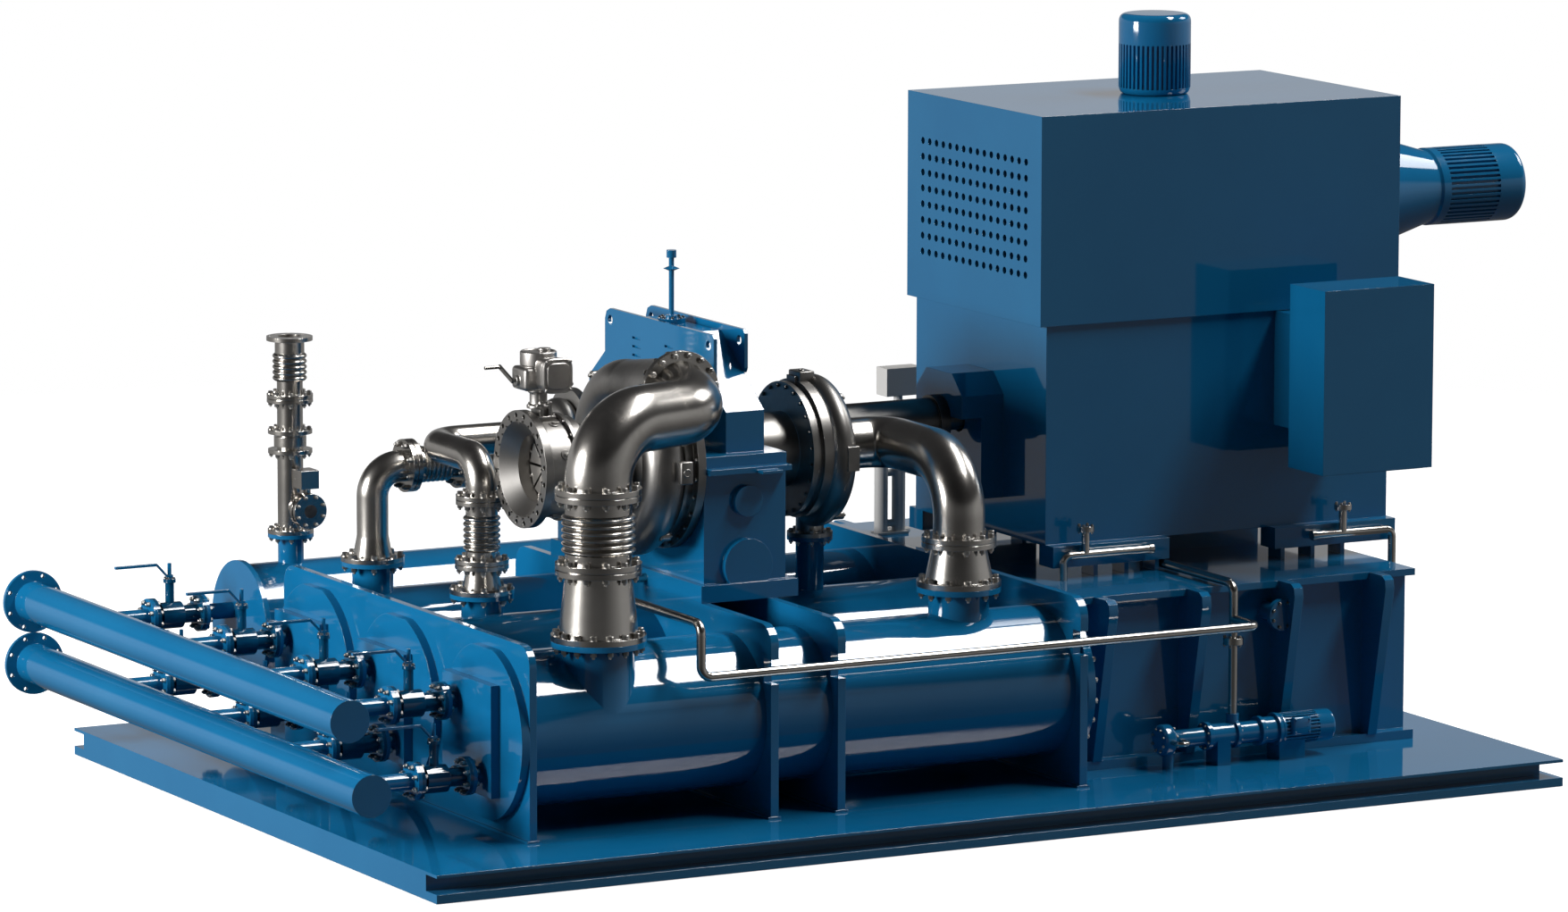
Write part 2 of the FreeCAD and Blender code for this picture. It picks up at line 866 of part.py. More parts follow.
# Lever valves: flanged bodies with a chamber and a neck, and a stem with a cranked lever in each.
valve_places = []
for high_port, low_port in ports:
    valve_places.append((high_port, s.upper_header_height))
    valve_places.append((low_port, s.lower_header_height))
valve_bodies = []
levers = []
for y, z in valve_places:
    body = join(
        rod("x", s.joint_a, y, z, s.joint_b - s.joint_a, s.branch_radius + 4),
        rod("x", s.joint_a, y, z, s.branch_flange_thick, s.branch_flange_radius),
        rod("x", s.joint_b - s.branch_flange_thick, y, z, s.branch_flange_thick, s.branch_flange_radius),
        rod(
            "x", s.valve_stem_x - s.valve_chamber_half, y, z, s.valve_chamber_half * 2, s.valve_chamber_radius
        ),
        rod("z", s.valve_stem_x, y, z, s.valve_neck_top, s.valve_neck_radius),
        rod("z", s.valve_stem_x, y, z + s.valve_neck_top - 20, 20, s.valve_gland_radius),
    )
    well = rod(
        "z", s.valve_stem_x, y, z + s.stem_depth - 1, s.valve_neck_top, s.stem_radius + s.shaft_play
    )
    valve_bodies.append(cut(body, well))
    stem = rod("z", s.valve_stem_x, y, z + s.stem_depth, s.stem_top - s.stem_depth, s.stem_radius)
    arm_low = z + s.valve_neck_top + 8
    near = arm_low
    far = arm_low + s.lever_rise
    thick = s.lever_thick
    x0 = s.valve_stem_x + s.lever_half_width + 6
    x1 = s.valve_stem_x - s.lever_half_width - 4
    x2 = x1 - s.lever_crank
    x3 = s.valve_stem_x - s.lever_length
    side_view = [(x0, near), (x0, near + thick), (x1, near + thick), (x2, far + thick), (x3, far + thick)]
    side_view += [(x3, far), (x2, far), (x1, near)]
    arm = feature(prism(side_view, "y", y - s.lever_half_width, s.lever_half_width * 2))
    levers.append(join(stem, arm))
node(group(*valve_bodies), "valve_bodies")
for number, lever in enumerate(levers, start=1):
    node(lever, "valve_lever_" + str(number))

# Gearbox lower casing: an open box with a foot, a split flange, two bosses and three bearing blocks.
shaft_lines = [
    (sized(0), s.main_bearing_radius),
    (-s.pinion_offset, s.pinion_bearing_radius),
    (s.pinion_offset, s.pinion_bearing_radius),
]
case_base = s.plate_top
outer = [
    box((s.case_left, s.case_right), (s.case_front, s.case_rear), (case_base, s.split_height)),
    box((s.foot_left, s.foot_right), (s.foot_front, s.foot_rear), (case_base, case_base + s.foot_height)),
    box(
        (s.case_left, s.case_right),
        (s.lower_flange_front, s.lower_flange_rear),
        (s.split_height - s.split_flange, s.split_height),
    ),
    rod("y", s.boss_x, s.case_front - s.boss_proud, s.small_boss_height, 60, s.small_boss_radius),
    rod("y", s.boss_x, s.case_front - s.boss_proud, s.large_boss_height, 60, s.large_boss_radius),
]
hollow = box(
    (s.case_left + s.case_wall, s.case_right - s.case_wall),
    (s.case_front + s.case_wall, s.case_rear - s.case_wall),
    (case_base + s.case_wall, s.split_height + 5),
)
opened = cut(join(*outer), hollow)
blocks = []
bores = []
for line, bearing in shaft_lines:
    half = s.bearing_block_half
    low = s.split_height - s.bearing_block_half
    blocks.append(
        box((s.case_left + 5, s.case_left + s.bearing_block), (line - half, line + half), (low, s.split_height))
    )
    blocks.append(
        box((s.case_right - s.bearing_block, s.case_right - 5), (line - half, line + half), (low, s.split_height))
    )
    bores.append(
        rod("x", s.case_left - 5, line, s.split_height, s.case_right - s.case_left + 10, bearing)
    )
step_plate = box(
    (s.boss_x + 30, s.boss_x + 150),
    (s.lower_flange_front - 60, s.lower_flange_front + 20),
    (s.split_height - s.split_flange, s.split_height - s.split_flange + 15),
)
node(cut(join(opened, step_plate, *blocks), *bores), "gearbox_lower_casing")

# Gearbox upper casing: split flange, a house-shaped cover over the wheels with two upright side
# plates, and half-round covers over the bearings.
lid = s.split_height + s.upper_flange
outline = [
    (s.nose_front, s.split_height),
    (s.nose_front, s.nose_top),
    (s.roof_front, s.roof_top),
    (s.roof_rear, s.roof_top),
    (s.nose_rear, s.nose_top),
    (s.nose_rear, s.split_height),
]
roof = feature(prism(outline, "x", s.roof_left, s.roof_right - s.roof_left))
inset = s.roof_wall
inner_outline = [
    (s.nose_front + inset, s.split_height - 5),
    (s.nose_front + inset, s.nose_top - inset / 2),
    (s.roof_front + inset / 3, s.roof_top - inset),
    (s.roof_rear - inset / 3, s.roof_top - inset),
    (s.nose_rear - inset, s.nose_top - inset / 2),
    (s.nose_rear - inset, s.split_height - 5),
]
room = feature(prism(inner_outline, "x", s.roof_left + 15, s.roof_right - s.roof_left - 30))
plate_top = s.side_plate_top
plate_rear = s.side_plate_rear
side_plates = []
for start, front, low in (
    (s.roof_left - s.side_plate, s.left_plate_front, s.left_plate_low),
    (s.roof_right, s.right_plate_front, s.right_plate_low),
):
    side_outline = [
        (front + 230, lid - 10),
        (front + 60, low - 40),
        (front + 12, low - 22),
        (front, low),
        (front, plate_top - 20),
        (front + 20, plate_top),
        (plate_rear - 60, plate_top),
        (plate_rear - 18, plate_top - 18),
        (plate_rear, plate_top - 60),
        (plate_rear, lid + 250),
        (plate_rear + 90, lid - 10),
    ]
    side_plates.append(feature(prism(side_outline, "x", start, s.side_plate)))
half_covers = []
upper_bores = []
for line, bearing in shaft_lines:
    half_covers.append(
        rod("x", s.case_left, line, s.split_height, s.roof_left - s.case_left + 5, s.side_boss_radius)
    )
    half_covers.append(
        rod("x", s.roof_right - 5, line, s.split_height, s.case_right - s.roof_right + 5, s.side_boss_radius)
    )
    upper_bores.append(
        rod("x", s.case_left - 5, line, s.split_height, s.case_right - s.case_left + 10, bearing)
    )
below = box((s.case_left - 20, s.case_right + 20), (-1150, 1150), (s.split_height - 200, s.split_height))
openings = []
for start, front in ((s.roof_left - s.side_plate, s.left_plate_front), (s.roof_right, s.right_plate_front)):
    for y in (front + 62, plate_rear - 62):
        openings.append(rod("x", start - 2, y, plate_top - 62, s.side_plate + 4, s.lifting_hole))
for column in (-310, 60):
    for step in range(4):
        low = plate_top - 130 - 46 * step
        openings.append(
            box((s.roof_left - s.side_plate - 2, s.roof_left - 5), (column, column + 95), (low, low + s.louvre_height))
        )
roof_cover = rod("z", s.boss_x + 30, -40, s.roof_top - 5, s.roof_cover_thick + 5, s.roof_cover_radius / 2)
upper = cut(
    join(
        box(
            (s.case_left, s.case_right),
            (s.upper_flange_front, s.upper_flange_rear),
            (s.split_height, lid),
        ),
        roof,
        roof_cover,
        *side_plates,
        *half_covers,
    ),
    room,
    below,
    *openings,
    *upper_bores,
)
node(upper, "gearbox_upper_casing")

# Breather on the roof: a stem with a drip disc and a cap.
breather_base = s.roof_top + s.roof_cover_thick
stem = turned(
    [
        (0, 0),
        (0, 30),
        (14, 30),
        (14, s.breather_radius),
        (250, s.breather_radius),
        (262, 43),
        (274, s.breather_radius),
        (s.breather_top - breather_base - 40, s.breather_radius),
        (s.breather_top - breather_base - 40, 26),
        (s.breather_top - breather_base, 26),
        (s.breather_top - breather_base, 0),
    ],
    "z",
    s.boss_x + 30,
    -40,
    breather_base,
)
node(feature(stem), "gearbox_breather")


# Gears: straight teeth with sloped flanks round a web that is thinner than the rim.
def gear(teeth, pitch_radius, left, right, backlash, shaft, shaft_left, shaft_right, web):
    """A toothed wheel on its shaft, all round the X axis through the origin."""
    module = 2 * pitch_radius / teeth
    points = []
    for tooth in range(teeth):
        pitch_angle = 2 * math.pi / teeth
        centre = tooth * pitch_angle
        half_root = (0.56 * math.pi * module / 2 - backlash / 2) / pitch_radius
        half_tip = (0.20 * math.pi * module / 2) / pitch_radius
        root = pitch_radius - 0.62 * module
        tip = pitch_radius + 0.5 * module
        for radius, angle in ((root, -half_root), (tip, -half_tip), (tip, half_tip), (root, half_root)):
            points.append((radius * math.cos(centre + angle), radius * math.sin(centre + angle)))
    wheel = prism(points, "x", left, right - left)
    rotor = Part.makeCylinder(shaft, shaft_right - shaft_left, vec(shaft_left, 0, 0), vec(1, 0, 0))
    if web:
        depth = (right - left) * 0.3
        for start in (left - 1, right - depth):
            ring = Part.makeCylinder(pitch_radius * 0.86, depth + 1, vec(start, 0, 0), vec(1, 0, 0))
            core = Part.makeCylinder(pitch_radius * 0.25, depth + 1, vec(start, 0, 0), vec(1, 0, 0))
            wheel = wheel.cut(ring.cut(core))
    return wheel.fuse(rotor)


centre_distance = s.pinion_offset.value
teeth_sum = s.gear_teeth.value + s.pinion_teeth.value
bull_pitch = centre_distance * s.gear_teeth.value / teeth_sum
pinion_pitch = centre_distance * s.pinion_teeth.value / teeth_sum
shaft_height = s.split_height


def lifted(shape, y, z, turn=0.0):
    """Moves a shape made round the X axis to its shaft line, turned about that axis."""
    shape.Placement = FreeCAD.Placement(vec(0, y, z), FreeCAD.Rotation(FreeCAD.Vector(1, 0, 0), turn))
    return shape


bull = gear(
    int(s.gear_teeth.value), bull_pitch, s.gear_left.value, s.gear_right.value, s.gear_backlash.value,
    s.main_shaft_radius.value, s.case_left.value + 10, s.coupling_plane.value, True,
)
bull = bull.fuse(
    Part.makeCylinder(
        s.coupling_radius.value, s.coupling_length.value,
        vec(s.coupling_plane - s.coupling_length, 0, 0), vec(1, 0, 0),
    )
)
node(feature(lifted(bull, 0, shaft_height)), "bull_gear")
half_tooth = 180 / s.pinion_teeth.value
front_pinion = gear(
    int(s.pinion_teeth.value), pinion_pitch, s.gear_left.value - 5, s.gear_right.value + 5,
    s.gear_backlash.value, s.pinion_shaft_radius.value, s.stage_one_plane.value - 95,
    s.stage_two_plane.value + 95, False,
)
node(feature(lifted(front_pinion, -s.pinion_offset, shaft_height, half_tooth)), "front_pinion")
rear_pinion = gear(
    int(s.pinion_teeth.value), pinion_pitch, s.gear_left.value - 5, s.gear_right.value + 5,
    s.gear_backlash.value, s.pinion_shaft_radius.value, s.stage_three_plane.value - 50,
    s.case_right.value - 10, False,
)
node(feature(lifted(rear_pinion, s.pinion_offset, shaft_height, half_tooth)), "rear_pinion")

# Journal bearings: one sleeve in each end of the casing on every shaft line.
sleeves = []
for line, bearing in shaft_lines:
    shaft = s.main_shaft_radius if bearing.text == s.main_bearing_radius.text else s.pinion_shaft_radius
    for start in (s.case_left + 12, s.case_right - s.bearing_block + 4):
        sleeve = cut(
            rod("x", start, line, shaft_height, s.bearing_block - 16, bearing - 0.02),
            rod("x", start - 2, line, shaft_height, s.bearing_block, shaft + s.shaft_play),
        )
        sleeves.append(sleeve)
node(group(*sleeves), "journal_bearings")


# Impellers: a hub that flares into a back disc, with blades swept back across it.
def impeller(size, depth, eye, shaft, blades, facing):
    """An open impeller round the X axis, its back disc at x = 0 and its eye towards facing * X."""
    back = 12.0
    hub = [(0, shaft + 0.0), (0, size), (back, size)]
    steps = 5
    for step in range(1, steps + 1):
        share = step / steps
        along = back + (depth - back) * (1 - math.cos(share * math.pi / 2))
        radius = size - (size - shaft - 14) * math.sin(share * math.pi / 2)
        hub.append((along, radius))
    hub.append((depth, shaft))
    body = turned(hub, "x", 0, 0, 0)
    envelope = [(back / 2, shaft + 4), (back / 2, size), (back + depth * 0.18, size)]
    for step in range(1, 5):
        share = step / 4
        along = back + depth * 0.18 + (depth * 0.80 - back) * (1 - math.cos(share * math.pi / 2))
        radius = size - (size - eye) * math.sin(share * math.pi / 2)
        envelope.append((along, radius))
    envelope.append((envelope[-1][0], shaft + 4))
    limit = turned(envelope, "x", 0, 0, 0)
    thick = max(4.0, size * 0.025)
    inner = shaft + 2
    sweep = 0.7
    line = []
    for step in range(4):
        share = step / 3
        radius = inner + (size - 2 - inner) * share
        line.append((radius, -sweep * share * share))
    left = [(r * math.cos(a) , r * math.sin(a)) for r, a in line]
    right = [(r * math.cos(a + thick / r), r * math.sin(a + thick / r)) for r, a in reversed(line)]
    blade = prism(left + right, "x", 0, depth + 20).common(limit)
    for number in range(blades):
        copy = blade.copy()
        copy.rotate(FreeCAD.Vector(), FreeCAD.Vector(1, 0, 0), 360 * number / blades)
        body = body.fuse(copy)
    if facing < 0:
        body.rotate(FreeCAD.Vector(), FreeCAD.Vector(0, 0, 1), 180)
    return body


def seated(shape, x, y, z):
    """Moves a finished shape's solid to a point."""
    solid = max(shape.Solids, key=lambda piece: piece.Volume)
    solid.translate(vec(x, y, z))
    return solid


# Each stage: plane of the scroll, impeller size, depth, eye radius and the side its eye faces.
shaft_radius = s.pinion_shaft_radius.value
count = int(s.impeller_blades.value)
wheel_one = (s.stage_one_plane.value + 25, s.stage_one_impeller.value, 115.0, 125.0, -1)
wheel_two = (s.stage_two_plane.value - 25, s.stage_two_impeller.value, 105.0, 105.0, 1)
wheel_three = (s.stage_three_plane.value + 12, s.stage_three_impeller.value, 60.0, 66.0, -1)


def wheel(stage):
    """The impeller of one stage, at its place along the shaft."""
    back, size, depth, eye, facing = stage
    return impeller(size, depth, eye, shaft_radius, count, facing)


front_wheels = [
    feature(seated(wheel(wheel_one), wheel_one[0], -s.pinion_offset, shaft_height)),
    feature(seated(wheel(wheel_two), wheel_two[0], -s.pinion_offset, shaft_height)),
]
node(group(*front_wheels), "front_impellers")
node(feature(seated(wheel(wheel_three), wheel_three[0], s.pinion_offset, shaft_height)), "rear_impeller")


# Scrolls: a spiral of growing round sections, a casing turned round the shaft and the room for the
# impeller inside it.
def spiral(end_angle, sections, start_ring, end_ring, start_radius, end_radius):
    """The spiral tube round the X axis, just short of a full turn; angles count from +Y towards +Z."""
    wires = []
    turn = 352
    for step in range(sections + 1):
        share = step / sections
        angle = math.radians(end_angle - turn * (1 - share))
        ring = start_ring + (end_ring - start_ring) * share
        radius = start_radius + (end_radius - start_radius) * share
        centre = vec(0, ring * math.cos(angle), ring * math.sin(angle))
        heading = vec(0, -math.sin(angle), math.cos(angle))
        wires.append(Part.Wire(Part.makeCircle(radius, centre, heading)))
    return Part.makeLoft(wires, True, False)


def impeller_room(stage, gap):
    """The turned space round an impeller, from its back disc out through its eye."""
    back, size, depth, eye, facing = stage
    shroud = [(-gap, 0), (-gap, size + gap), (12 + depth * 0.18 + gap, size + gap)]
    for step in range(1, 5):
        share = step / 4
        along = 12 + depth * 0.18 + (depth * 0.80 - 12) * (1 - math.cos(share * math.pi / 2)) + gap
        radius = size - (size - eye) * math.sin(share * math.pi / 2) + gap
        shroud.append((along, radius))
    shroud.append((depth * 3, eye + gap))
    shroud.append((depth * 3, 0))
    room = turned(shroud, "x", 0, 0, 0)
    if facing < 0:
        room.rotate(FreeCAD.Vector(), FreeCAD.Vector(0, 0, 1), 180)
    room.translate(vec(back, 0, 0))
    return room


gap = s.impeller_gap.value
plane = s.stage_one_plane.value
hub_end = s.case_left.value
case_profile = [
    (plane - 173, 0),
    (plane - 173, 255),
    (plane - 145, 255),
    (plane - 145, 205),
    (plane - 113, 215),
    (plane - 75, 320),
    (plane + 75, 330),
    (plane + 110, 420),
    (plane + 157, 420),
    (plane + 157, 470),
    (plane + 202, 470),
    (plane + 202, 200),
    (hub_end, 200),
    (hub_end, 0),
]
scroll_one = turned(case_profile, "x", 0, 0, 0)
ring_one = s.scroll_one_ring.value
tube_one = spiral(90, 12, ring_one - 36, ring_one, 100, 133)
tube_one.translate(vec(plane, 0, 0))
rise_one = s.discharge_one_height.value - shaft_height.value
reach_one = -s.discharge_one_face.value - s.pinion_offset.value
throat_rings = [
    Part.Wire(Part.makeCircle(133, vec(plane, 0, ring_one), vec(0, -1, 0))),
    Part.Wire(Part.makeCircle(172.5, vec(plane, 86 - reach_one, rise_one), vec(0, -1, 0))),
]
throat = Part.makeLoft(throat_rings, True, True)
throat_end = Part.makeCylinder(172.5, 50, vec(plane, 86 - reach_one, rise_one), vec(0, -1, 0))
throat_rim = Part.makeCylinder(222, 30, vec(plane, 30 - reach_one, rise_one), vec(0, -1, 0))
lug_one = Part.makeBox(70, 40, 120, vec(plane + 20, -ring_one - 140, -58))
scroll_one = scroll_one.fuse([tube_one, throat, throat_end, throat_rim, lug_one])
scroll_one = scroll_one.cut(impeller_room(wheel_one, gap))
scroll_one = scroll_one.cut(
    Part.makeCylinder(shaft_radius + 4, hub_end + 40 - plane, vec(plane - 20, 0, 0), vec(1, 0, 0))
)
node(feature(seated(scroll_one, 0, -s.pinion_offset, shaft_height)), "stage_1_scroll")

plane = s.stage_two_plane.value
hub_end = s.case_right.value
case_profile = [
    (hub_end, 0),
    (hub_end, 190),
    (plane - 180, 200),
    (plane - 180, 357),
    (plane - 150, 357),
    (plane - 150, 345),
    (plane - 120, 345),
    (plane - 120, 368),
    (plane - 65, 368),
    (plane - 40, 310),
    (plane + 50, 270),
    (plane + 95, 160),
    (plane + 150, 145),
    (plane + 180, 145),
    (plane + 180, 0),
]
scroll_two = turned(case_profile, "x", 0, 0, 0)
ring_two = s.scroll_two_ring.value
tube_two = spiral(270, 12, ring_two - 40, ring_two, 48, 82)
tube_two.translate(vec(plane, 0, 0))
drop_x = discharge_two[0]
drop_y = s.pinion_offset + discharge_two[1]
drop_z = discharge_two[2] - shaft_height
elbow = pipe([(plane, 0, -ring_two), (drop_x, drop_y, -ring_two), (drop_x, drop_y, drop_z)], 75, 95)
foot = Part.makeCylinder(122, 22, vec(drop_x, drop_y, drop_z), vec(0, 0, 1))
crown = Part.makeBox(115, 90, 55, vec(plane - 130, -45, ring_two - 12))
lug_two = Part.makeBox(66, 40, 130, vec(plane - 5, -ring_two - 70, -80))
scroll_two = scroll_two.fuse([tube_two, elbow, foot, crown, lug_two])
scroll_two = scroll_two.cut(impeller_room(wheel_two, gap))
scroll_two = scroll_two.cut(
    Part.makeCylinder(shaft_radius + 4, plane + 40 - hub_end, vec(hub_end - 20, 0, 0), vec(1, 0, 0))
)
node(feature(seated(scroll_two, 0, -s.pinion_offset, shaft_height)), "stage_2_scroll")

plane = s.stage_three_plane.value
hub_end = s.case_left.value
case_profile = [
    (plane - 190, 0),
    (plane - 190, 125),
    (plane - 170, 125),
    (plane - 170, 90),
    (plane - 60, 100),
    (plane - 30, 150),
    (plane + 40, 155),
    (plane + 60, 240),
    (plane + 108, 240),
    (plane + 108, 150),
    (hub_end, 150),
    (hub_end, 0),
]
scroll_three = turned(case_profile, "x", 0, 0, 0)
ring_three = s.scroll_three_ring.value
tube_three = spiral(270, 12, ring_three - 30, ring_three, 42, 80)
tube_three.translate(vec(plane, 0, 0))
out_y = discharge_three[1] - s.pinion_offset
out_face = s.discharge_three_face.value
drop = pipe([(plane, 0, -ring_three), (plane, out_y, -ring_three), (out_face, out_y, -ring_three)], 80, 140)
rim = Part.makeCylinder(142, 22, vec(out_face, out_y, -ring_three), vec(1, 0, 0))
scroll_three = scroll_three.fuse([tube_three, drop, rim])
scroll_three = scroll_three.cut(impeller_room(wheel_three, gap))
scroll_three = scroll_three.cut(
    Part.makeCylinder(shaft_radius + 4, hub_end + 30 - plane, vec(plane - 10, 0, 0), vec(1, 0, 0))
)
node(feature(seated(scroll_three, 0, s.pinion_offset, shaft_height)), "stage_3_scroll")

# Inlet guide vane housing: bolted inlet flange, barrel and neck with a bore that narrows to a throat.
inlet_profile = [
    (s.inlet_face, s.inlet_bore),
    (s.inlet_face, s.inlet_flange_radius),
    (s.inlet_face + s.inlet_flange_thick, s.inlet_flange_radius),
    (s.inlet_face + s.inlet_flange_thick, s.barrel_radius),
    (s.barrel_end, s.barrel_radius),
    (s.barrel_end + 40, s.neck_radius),
    (s.stage_one_plane - 203, s.neck_radius),
    (s.stage_one_plane - 203, 255),
    (s.stage_one_plane - 173, 255),
    (s.stage_one_plane - 173, 128),
    (s.vane_plane + 100, s.throat_bore),
    (s.inlet_face + 75, s.throat_bore),
]
housing = feature(turned(inlet_profile, "x", 0, -s.pinion_offset, shaft_height))
holes = ring_of(
    20,
    s.inlet_bolt_circle / 2,
    lambda u, v: rod(
        "x", s.inlet_face - 5, u - s.pinion_offset, v + shaft_height,
        s.inlet_flange_thick + 10, s.inlet_bolt_hole,
    ),
)
vane_total = int(s.vane_count.value)
stem_holes = []
for number in range(vane_total):
    angle = 360 * (number + 0.5) / vane_total
    hole = doc.addObject("Part::Cylinder", "StemHole")
    measure(hole, Radius=s.vane_stem + s.shaft_play, Height=s.barrel_radius + 20)
    turn = FreeCAD.Rotation(FreeCAD.Vector(1, 0, 0), angle)
    hole.Placement = FreeCAD.Placement(vec(s.vane_plane, -s.pinion_offset, shaft_height), turn)
    bind(hole, "Placement.Base.x", s.vane_plane)
    bind(hole, "Placement.Base.y", -s.pinion_offset)
    bind(hole, "Placement.Base.z", shaft_height)
    stem_holes.append(hole)
node(cut(housing, *holes, *stem_holes), "guide_vane_housing")

# Guide vanes: triangular blades that point at the centre line, each on a stem with a small arm.
for number in range(vane_total):
    blade = Part.Face(
        Part.makePolygon(
            [
                vec(s.vane_thick / 2, -3, s.vane_tip),
                vec(s.vane_thick / 2, 3, s.vane_tip),
                vec(s.vane_thick / 2, s.vane_half, s.vane_root),
                vec(s.vane_thick / 2, -s.vane_half, s.vane_root),
                vec(s.vane_thick / 2, -3, s.vane_tip),
            ]
        )
    ).extrude(vec(-s.vane_thick, 0, 0))
    stem = Part.makeCylinder(
        s.vane_stem.value, s.barrel_radius.value + 12 - s.vane_root.value + 6, vec(0, 0, s.vane_root - 6)
    )
    arm = Part.makeBox(40, 12, 6, vec(-8, -6, s.barrel_radius + 6))
    vane = blade.fuse([stem, arm])
    vane.Placement = FreeCAD.Placement(
        vec(s.vane_plane, -s.pinion_offset, shaft_height),
        FreeCAD.Rotation(FreeCAD.Vector(1, 0, 0), 360 * (number + 0.5) / vane_total),
    )
    node(feature(vane), "guide_vane_" + str(number + 1))

# Guide vane actuator on top of the barrel: bracket, gear housing, motor can and cover, with a hand
# crank on the left.
act = s.actuator_x
line = -s.pinion_offset
barrel_top = shaft_height + s.barrel_radius
body_low = s.crank_height - 51
body_top = s.crank_height + 70
cover_face = line - 190
column = cut(
    join(
        box((act - 22, act + 58), (line - 55, line + 55), (barrel_top - 60, barrel_top + 16)),
        box((act - 18, act + 4), (line - 55, line + 55), (barrel_top + 10, barrel_top + 92)),
        box((act + 30, act + 52), (line - 55, line + 55), (barrel_top + 10, barrel_top + 92)),
        rod("z", act + 10, line, barrel_top + 60, body_low - barrel_top - 55, 52),
        box((act - 117, act + 63), (line - 85, line + 85), (body_low, body_top)),
        rod("z", act, line, body_top - 5, s.actuator_top - body_top + 5, 96),
        rod("z", act + 35, line, s.actuator_top - 5, 14, 34),
        box((act - 55, act + 95), (cover_face + 20, line - 60), (body_low + 10, body_top + 50)),
        box((act - 66, act + 106), (cover_face, cover_face + 26), (body_low - 4, body_top + 60)),
        rod("x", act - 135, line, s.crank_height, 30, 26),
    ),
    rod("x", s.inlet_face - 5, line, shaft_height, 400, s.barrel_radius + 0.3),
    rod("x", act - 140, line, s.crank_height, 60, 8 + s.shaft_play),
)
node(column, "guide_vane_actuator")
crank_arm = feature(
    prism(
        [(-10, -10), (s.crank_reach + 10, -10), (s.crank_reach + 10, 10), (-10, 10)],
        "x",
        act - 158,
        12,
    )
)
crank_tilt = 21
crank_arm.Placement = FreeCAD.Placement(
    vec(0, line, s.crank_height), FreeCAD.Rotation(FreeCAD.Vector(1, 0, 0), crank_tilt)
)
grip_y = line + s.crank_reach * math.cos(math.radians(crank_tilt))
grip_z = s.crank_height + s.crank_reach * math.sin(math.radians(crank_tilt))
crank = join(
    rod("x", act - 158, line, s.crank_height, 72, 8),
    crank_arm,
    rod("x", act - 240, grip_y, grip_z, 84, 9),
)
node(crank, "actuator_crank")

# Process piping. Each run is one welded piece between its two flanged joints.
x, y, top = discharge_one[:3]
gate = s.stage_one_plane
face = s.discharge_one_face
bend_route = [
    (x, y, 1865),
    (x, y, 2215),
    (gate, face - 240, 2222),
    (gate, face, s.discharge_one_height),
]
beyond = box((gate - 300, gate + 300), (face, face + 200), (1950, 2600))
run = [
    rod("z", x, y, top, 30, 245),
    cone("z", x, y, top + 30, 340, 205, 168),
    *flange_pair("z", x, y, 1482, 222, 62),
    rod("z", x, y, 1482, 80, 172.5),
    feature(bellows("z", x, y, 1560, 205, 189, 22, 6)),
    rod("z", x, y, 1765, 110, 172.5),
    *flange_pair("z", x, y, 1865, 222, 62),
    feature(pipe(bend_route, 172.5, [300, 240])),
    rod("y", gate, face - 32, s.discharge_one_height, 32, 222),
]
node(cut(join(*run), beyond), "stage_1_discharge_pipe")

x, y, top = suction_two[:3]
inlet_two = s.stage_two_plane + 180
run = [
    rod("z", x, y, top, 30, 222),
    cone("z", x, y, top + 30, 190, 180, 140),
    *flange_pair("z", x, y, 1428, 197, 56),
    feature(
        pipe(
            [(inlet_two, -s.pinion_offset, shaft_height), (x, -s.pinion_offset, shaft_height),
             (x, y, shaft_height), (x, y, 1428)],
            136.5,
            [150, 300],
        )
    ),
]
node(join(*run), "stage_2_inlet_pipe")

x, y, top = suction_three[:3]
inlet_three = s.stage_three_plane - 190
run = [
    rod("z", x, y, top, 24, 170),
    cone("z", x, y, top + 12, 125, 105, 82.5),
    *flange_pair("z", x, y, top + 156, 142, 50),
    rod("z", x, y, top + 156, 70, 84),
    feature(bellows("z", x, y, top + 222, 190, 97, 14, 6)),
    rod("z", x, y, top + 412, 90, 84),
    *flange_pair("z", x, y, top + 495, 136, 50),
    feature(
        pipe(
            [(x, y, top + 495), (x, y, shaft_height), (x, s.pinion_offset, shaft_height),
             (inlet_three, s.pinion_offset, shaft_height)],
            84,
            [150, 170],
        )
    ),
    rod("x", inlet_three - 20, s.pinion_offset, shaft_height, 20, 125),
]
node(join(*run), "stage_3_inlet_pipe")

x, y, top = discharge_three[:3]
level = shaft_height - s.scroll_three_ring
face = s.discharge_three_face
run = [
    rod("z", x, y, top, 24, 170),
    cone("z", x, y, top + 12, 125, 107, 84),
    feature(pipe([(x, y, top + 100), (x, y, level), (face, y, level)], 84, 150)),
    *flange_pair("x", x + 208, y, level, 142, 56),
    feature(bellows("x", x + 280, y, level, 165, 97, 14, 6)),
    rod("x", face - 22, y, level, 22, 142),
]
node(join(*run), "stage_3_discharge_pipe")

